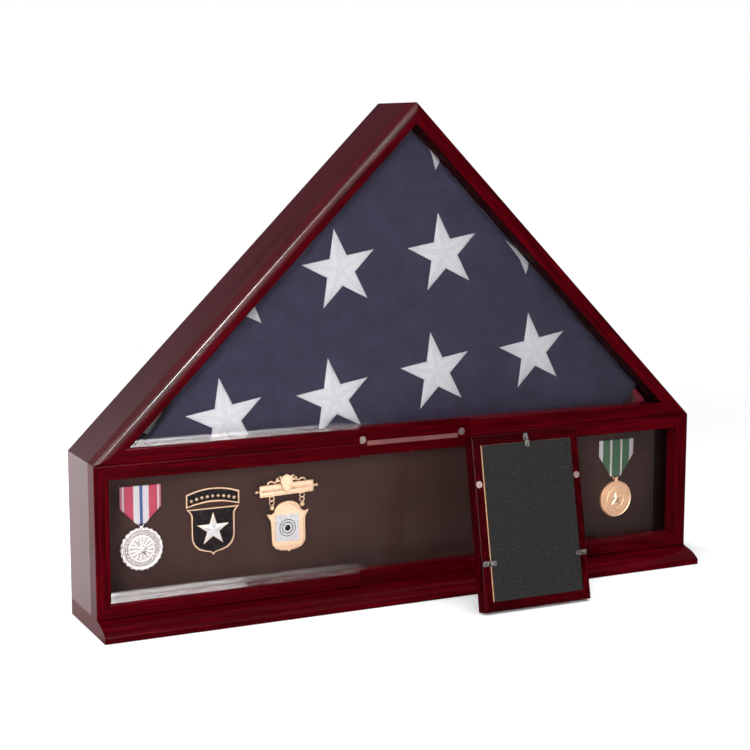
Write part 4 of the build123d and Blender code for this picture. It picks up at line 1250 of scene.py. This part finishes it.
def smooth_rise(value, width):
    """0 below 0, 1 above width, and an even slope between."""
    share = min(1, max(0, value / width))
    return share * share * (3 - 2 * share)


SERVICE_RADIUS, BRONZE_RADIUS = 0.0204, 0.0198
service_low, service_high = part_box("service_medal_disc")
service_centre = ((service_low.x + service_high.x) / 2, service_low.z + SERVICE_RADIUS + 0.0006)
bronze_low, bronze_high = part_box("bronze_medal_disc")
bronze_centre = ((bronze_low.x + bronze_high.x) / 2, bronze_low.z + BRONZE_RADIUS)


def service_height(x, z):
    """Uneven raised rim, a low band, and a star on rays inside it."""
    r, angle = math.hypot(x, z) / SERVICE_RADIUS, math.atan2(z, x)
    rim = smooth_rise(r - 0.88, 0.04) * (0.0004 + 0.00012 * math.sin(16 * angle))
    band = 0.0001 * (1 - smooth_rise(abs(r - 0.60) - 0.02, 0.02))
    rays = 0.00024 * max(0, math.cos(15 * angle)) * (1 - smooth_rise(r - 0.50, 0.06))
    star = 0.0007 * smooth_rise(star_share(x, z, 0.0088), 0.5)
    grain = 0.00005 * noise.noise(Vector((900 * x, 900 * z, 2)))
    return 0.00005 + rim + band + rays + star + grain


def bronze_height(x, z):
    """A narrow rim, a low ring round the star and a plain, faintly hammered field."""
    r = math.hypot(x, z) / BRONZE_RADIUS
    rim = 0.0004 * smooth_rise(r - 0.93, 0.03)
    ring = 0.00015 * (1 - smooth_rise(abs(r - 0.53) - 0.012, 0.02))
    return 0.0002 + rim + ring + 0.00004 * noise.noise(Vector((700 * x, 700 * z, 5)))


def raised_star(name, centre, radius, front, rise, finish):
    """A small faceted star facing -Y, closed behind."""
    rim = [(centre[0] + r * math.sin(a), front, centre[1] + r * math.cos(a)) for i in range(10)
           for r, a in [(radius if i % 2 == 0 else radius * NOTCH_SHARE, math.pi / 5 * i)]]
    points = rim + [(x, front + 0.0004, z) for x, _, z in rim]
    points += [(centre[0], front - rise, centre[1]), (centre[0], front + 0.0004, centre[1])]
    faces = []
    for i in range(10):
        n = (i + 1) % 10
        faces += [(i, n, 20), (i, 10 + i, 10 + n, n), (10 + n, 10 + i, 21)]
    return piece(name, points, faces, finish, smooth=False)


worn_silver = metal("worn_silver", srgb(192, 184, 184), srgb(228, 219, 217), 0.52, hollows=True)
pale_bronze = metal("pale_bronze", srgb(232, 190, 158), srgb(248, 220, 196), 0.45)
service_face = struck_face("service_medal_face", service_centre, SERVICE_RADIUS * 0.985, service_low.y,
                           service_height, worn_silver)
bronze_face = struck_face("bronze_medal_face", bronze_centre, BRONZE_RADIUS * 0.985, bronze_low.y,
                          bronze_height, bronze)
bronze_star = raised_star("bronze_medal_star", bronze_centre, 0.0084, bronze_low.y - 0.0004, 0.0009,
                          pale_bronze)
LEAF = lathe("leaf", [(0, 0.0005), (0.0006, 0.0004), (0.0011, 0.00005), (0.0011, -0.0001),
                      (0, -0.0001)], 12)
for vertex in LEAF.vertices:
    vertex.co.y *= 0.45
    vertex.co.x *= 1.5
def set_wreath(name, centre, front, radius, count, finish, body):
    """A ring of leaves round a medal's middle."""
    path = [(centre[0] + radius * math.cos(a), front, centre[1] + radius * math.sin(a)) for a in turns(96)]
    wreath = repeat_shape(name, LEAF, path, finish, count=count, closed=True)
    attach(wreath, body)


for name, radius, count in (("wreath_outer", 0.0162, 30), ("wreath_inner", 0.0143, 26)):
    set_wreath(name, service_centre, service_low.y - 0.0002, radius, count, silver, "service_medal")
set_wreath("bronze_wreath", bronze_centre, bronze_low.y - 0.0003, 0.0142, 26, pale_bronze,
           "bronze_medal")
for face, body, name in ((service_face, "service_medal", "silver_metal"),
                         (bronze_face, "bronze_medal", "bronze_metal"),
                         (bronze_star, "bronze_medal", "bronze_metal")):
    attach(face, body)
print("medal faces", len(service_face.data.polygons), len(bronze_face.data.polygons))

# %% [markdown]
# ## Badges
# The shield is black enamel in a gilt edge. A white enamel star fills its gilt star, and
# plain studs sit in the arched tab. The marksman's badge is cut from gilt plate: a bar with
# a raised border and knobs, a small crest with scrolls, and a pendant on linked rings that
# carries the white target. One function cuts every plate: outline, bevelled edge, raised
# border and sunk field.

# %% Cutting plates
BADGE_X = -0.1228
BADGE_TILT = math.radians(2.0)
PLATE_BACK, PLATE_FRONT = -0.0010, -0.0028
turn_badge = Matrix.Rotation(BADGE_TILT, 2)


def on_badge(x, z):
    """A place on the badge, in millimetres from the board's middle line, tilted as it was pinned."""
    turned = turn_badge @ (Vector((x, z - 27)) / 1000)
    return Vector((BADGE_X + turned.x, BOARD_MIDDLE + 0.027 + turned.y))


def both_sides(right_half):
    """A whole outline, anticlockwise, from its right half given from the bottom to the top."""
    left = [(-x, z) for x, z in reversed(right_half) if abs(x) > 1e-9]
    return right_half + left


# Darker, antiqued copies of gilt and bronze for every plate wall that does not face the front: painted shade.
shaded = {gilt.name: metal("gilt_edge", srgb(150, 104, 62), srgb(196, 150, 100), 0.45),
          bronze.name: metal("bronze_edge", srgb(132, 80, 50), srgb(176, 118, 80), 0.45)}
shaded[pale_bronze.name] = shaded[bronze.name]


def cut_plate(name, outline, back, front, border, sink, body, finish=gilt, place=on_badge):
    """A plate with a small bevel, a raised border and a field sunk behind it; its walls take a darker copy of
    its metal as painted shade.
    """
    mesh = bpy.data.meshes.new(name)
    work = bmesh.new()
    rim = [work.verts.new((p.x, back, p.y)) for p in (place(x, z) for x, z in outline)]
    sheet = work.faces.new(rim)
    grown = bmesh.ops.extrude_face_region(work, geom=[sheet])
    top = next(g for g in grown["geom"] if isinstance(g, bmesh.types.BMFace))
    bevel = 0.0003
    bmesh.ops.translate(work, verts=top.verts, vec=(0, front + bevel - back, 0))
    work.normal_update()
    for width, depth in ((bevel, -bevel), (border, 0), (bevel, sink)):
        bmesh.ops.inset_region(work, faces=[top], thickness=width, use_even_offset=True)
        bmesh.ops.translate(work, verts=top.verts, vec=(0, depth, 0))
    bmesh.ops.recalc_face_normals(work, faces=work.faces)
    work.to_mesh(mesh)
    work.free()
    mesh.materials.append(finish)
    mesh.materials.append(shaded.get(finish.name, finish))
    # Walls that do not face the front get the darker copy: painted shade.
    for polygon in mesh.polygons:
        polygon.material_index = int(abs(polygon.normal.y) < 0.9)
    plate = bpy.data.objects.new(name, mesh)
    scene.collection.objects.link(plate)
    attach(plate, body)
    return plate


# %% The shield
shield_low, shield_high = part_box("shield_badge")
SHIELD_X = (shield_low.x + shield_high.x) / 2
TAB_STUD = lathe("tab_stud", [(0, 0.0010), (0.0009, 0.00085), (0.0017, 0.0003), (0.0018, -0.0002),
                              (0, -0.0002)], 16)


def on_shield(x, z):
    """A place on the shield badge, in millimetres from its middle line and from the board's foot line."""
    return Vector((SHIELD_X + x / 1000, z / 1000))


def arch_points(half_width, foot, rise, steps=14):
    """Points of a shallow arch from the right end to the left."""
    shares = [1 - 2 * k / steps for k in range(steps + 1)]
    return [(half_width * t, foot + rise * (1 - t * t)) for t in shares]


SHIELD = both_sides([(0, 53.9), (1.6, 56.2), (4.5, 57.4), (9.5, 58.2), (15.0, 60.2), (19.2, 64.0),
                     (21.6, 68.8), (22.3, 73.0), (22.3, 94.4), (23.6, 97.2), (27.4, 101.4)])
TAB = arch_points(27.6, 102.6, 4.4)[::-1] + arch_points(27.6, 116.0, 5.2)
for name, outline, node_name in (("shield", SHIELD, "shield_badge_trim"), ("tab", TAB, "shield_badge")):
    edge = cut_plate(f"{name}_edge", outline, 0.0014, -0.0004, 0.0007, 0.0005, "case", gilt, on_shield)
    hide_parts(node_name)
field_outline = both_sides([(0, 56.4), (2.4, 57.7), (9.2, 59.6), (14.2, 61.5), (18.0, 65.0), (20.2, 69.2),
                            (20.9, 73.2), (20.9, 94.8), (22.3, 97.8), (24.4, 100.1)])
tab_field = arch_points(26.2, 104.2, 4.2)[::-1] + arch_points(26.2, 114.8, 5.0)
for name, outline in (("shield_field", field_outline), ("tab_field", tab_field)):
    cut_plate(name, outline, 0.0010, -0.0001, 0.0004, -0.0001, "case", black_enamel, on_shield)
star_middle = (SHIELD_X, 0.0795)
star_edge = raised_star("shield_star_edge", star_middle, 0.0172, -0.0002, 0.0003, gilt)
shield_star = raised_star("shield_star", star_middle, 0.0158, -0.0004, 0.0011, white_enamel)
tab_path = [(SHIELD_X + x / 1000, -0.0002, z / 1000) for x, z in arch_points(22.0, 109.4, 3.4)]
tab_studs = repeat_shape("tab_studs", TAB_STUD, tab_path, gilt, count=9)
for made, slot_name in ((star_edge, "gold_metal"), (shield_star, "white_enamel"), (tab_studs, "gold_metal")):
    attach(made, "case")
print("shield and tab cut, 9 studs")

# %% The bronze medal's neck
def on_bronze(x, z):
    """A place on the bronze medal, in millimetres from its middle."""
    return Vector((bronze_centre[0] + x / 1000, bronze_centre[1] + z / 1000))


neck = [(-3.6, 18.6), (3.6, 18.6), (1.9, 21.4), (2.3, 23.4), (0, 24.6), (-2.3, 23.4), (-1.9, 21.4)]
cut_plate("medal_neck", neck, bronze_low.y + 0.0016, bronze_low.y - 0.0004, 0.0004, -0.0001,
          "bronze_medal", bronze, on_bronze)
print("neck on the bronze medal")


# %% The marksman's badge
BAR_END, BAR_MIDDLE = 29, 27
RING_ACROSS = 16.2
bar_outline = [(-BAR_END, 21.8), (-28.2, 21), (28.2, 21), (BAR_END, 21.8), (BAR_END, 32.2), (28.2, 33),
               (-28.2, 33), (-BAR_END, 32.2)]
bar = cut_plate("badge_bar", bar_outline, PLATE_BACK, PLATE_FRONT, 0.0009, 0.0004, "case")
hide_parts("marksman_bar")
CREST = both_sides([(0, 22.6), (3.2, 25.6), (5.6, 29.2), (6.8, 33.2), (6.6, 37.2), (8.3, 41.2),
                    (4.2, 40.2), (0, 42.4)])
cut_plate("badge_crest", CREST, PLATE_FRONT + 0.0003, PLATE_FRONT - 0.0011, 0.0007, 0.0003, "case")
PENDANT = both_sides([(0, -37.2), (2.0, -35.6), (8.5, -34.9), (14.2, -32.6), (17.4, -28.4),
                      (18.3, -23.5), (18.3, -6.2), (19.3, -2.4), (23.2, 3.9), (17.6, 2.9), (14.6, 4.6),
                      (13.2, 8.2), (10.2, 11.8), (5.6, 14.0), (0, 14.7)])
pendant = cut_plate("badge_pendant", PENDANT, PLATE_BACK, PLATE_FRONT, 0.0011, 0.0005, "marksman_pendant")
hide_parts("marksman_pendant")


def badge_path(points, y):
    """Points on the badge at a depth, for wire and rows of beads."""
    return [(p.x, y, p.y) for p in (on_badge(x, z) for x, z in points)]


def circle_points(x, z, radius, steps=40):
    """A circle round a place on the badge, in millimetres."""
    return [(x + radius * math.cos(a), z + radius * math.sin(a)) for a in turns(steps)]


def badge_wire(name, points, radius, body, y=PLATE_FRONT, closed=False, finish=gilt):
    """Wire on the badge that rides on a body."""
    made = wire_piece(name, badge_path(points, y), radius, finish, closed)
    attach(made, body)
    return made


for side, sign in (("left", -1), ("right", 1)):
    upper_circle = circle_points(sign * RING_ACROSS, 18.6, 2.5)
    upper = badge_wire(f"ring_upper_{side}", upper_circle, 0.0006, "case", -0.0022, True)
    lower_circle = circle_points(sign * RING_ACROSS, 14.4, 2.4)
    badge_wire(f"ring_lower_{side}", lower_circle, 0.0006, "marksman_pendant", -0.0016, True)
    if side == "left":
        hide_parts("marksman_rings")
    cut_plate(f"ring_eye_{side}", circle_points(sign * RING_ACROSS, 9.4, 2.4, 20), PLATE_BACK,
              PLATE_FRONT + 0.0002, 0.0006, 0.0002, "marksman_pendant")
    scroll = [(sign * x, z) for x, z in ((6.4, 35.2), (8.6, 36.6), (10.6, 36.2), (11.6, 34.6), (12.6, 33.9),
                                         (14.4, 35.4), (16.6, 36.2), (18.8, 35.6), (20.4, 33.8))]
    badge_wire(f"scroll_{side}", scroll, 0.0010, "case", PLATE_FRONT + 0.0003)
    curl = [(sign * (9.2 + 0.16 * k * math.cos(0.55 * k)), 36.4 + 0.16 * k * math.sin(0.55 * k))
            for k in range(16)]
    badge_wire(f"curl_{side}", curl, 0.0006, "case", PLATE_FRONT - 0.0002)
KNOB = lathe("knob", [(0, 0.0052), (0.0011, 0.0049), (0.0021, 0.0036), (0.0021, 0.0026), (0.0010, 0.0014),
                      (0.0006, 0.0009), (0.0014, 0.0005), (0.0014, -0.0002), (0, -0.0002)])
for side, sign in (("left", -1), ("right", 1)):
    knob = repeat_shape(f"bar_knob_{side}", KNOB, badge_path([(sign * BAR_END, BAR_MIDDLE)], -0.0019), gilt,
                        facing=(sign * math.cos(BADGE_TILT), 0, sign * math.sin(BADGE_TILT)))
    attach(knob, "case")
bar_line = badge_path([(-24.5, BAR_MIDDLE), (24.5, BAR_MIDDLE)], PLATE_FRONT + 0.0003)
bar_beads = repeat_shape("bar_beads", STUD, bar_line, gilt, count=16)
foot_arc = [(t, -31.6 + 0.012 * t * t) for t in range(-10, 11)]
foot_beads = repeat_shape("foot_beads", BEAD, badge_path(foot_arc, PLATE_FRONT + 0.0003), gilt, count=12)
arch = [(11.2 * math.cos(a), 3.6 + 7.6 * math.sin(a)) for a in [math.pi * k / 24 for k in range(25)]]
badge_wire("dome_line", arch, 0.0004, "marksman_pendant", PLATE_FRONT + 0.0003)
target_low, target_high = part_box("marksman_target")
target_x, target_z = (target_low.x + target_high.x) / 2, (target_low.z + target_high.z) / 2
for name, radius, width in (("target_ring_outer", 0.0084, 0.00036), ("target_ring_middle", 0.0056, 0.00042)):
    ring_path = [(target_x + radius * math.cos(a), target_low.y, target_z + radius * math.sin(a))
                 for a in turns(48)]
    ring = wire_piece(name, ring_path, width, black_enamel, True, 8)
    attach(ring, "marksman_pendant")
DOT = lathe("dot", [(0, 0.0003), (0.0026, 0.00028), (0.003, 0.0001), (0.003, -0.0002), (0, -0.0002)], 32)
dot = repeat_shape("target_dot", DOT, [(target_x, target_low.y, target_z)], black_enamel)
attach(dot, "marksman_pendant")
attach(bar_beads, "case")
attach(foot_beads, "marksman_pendant")
print("badge cut from", round(bar.dimensions.x * 1000, 1), "mm bar")
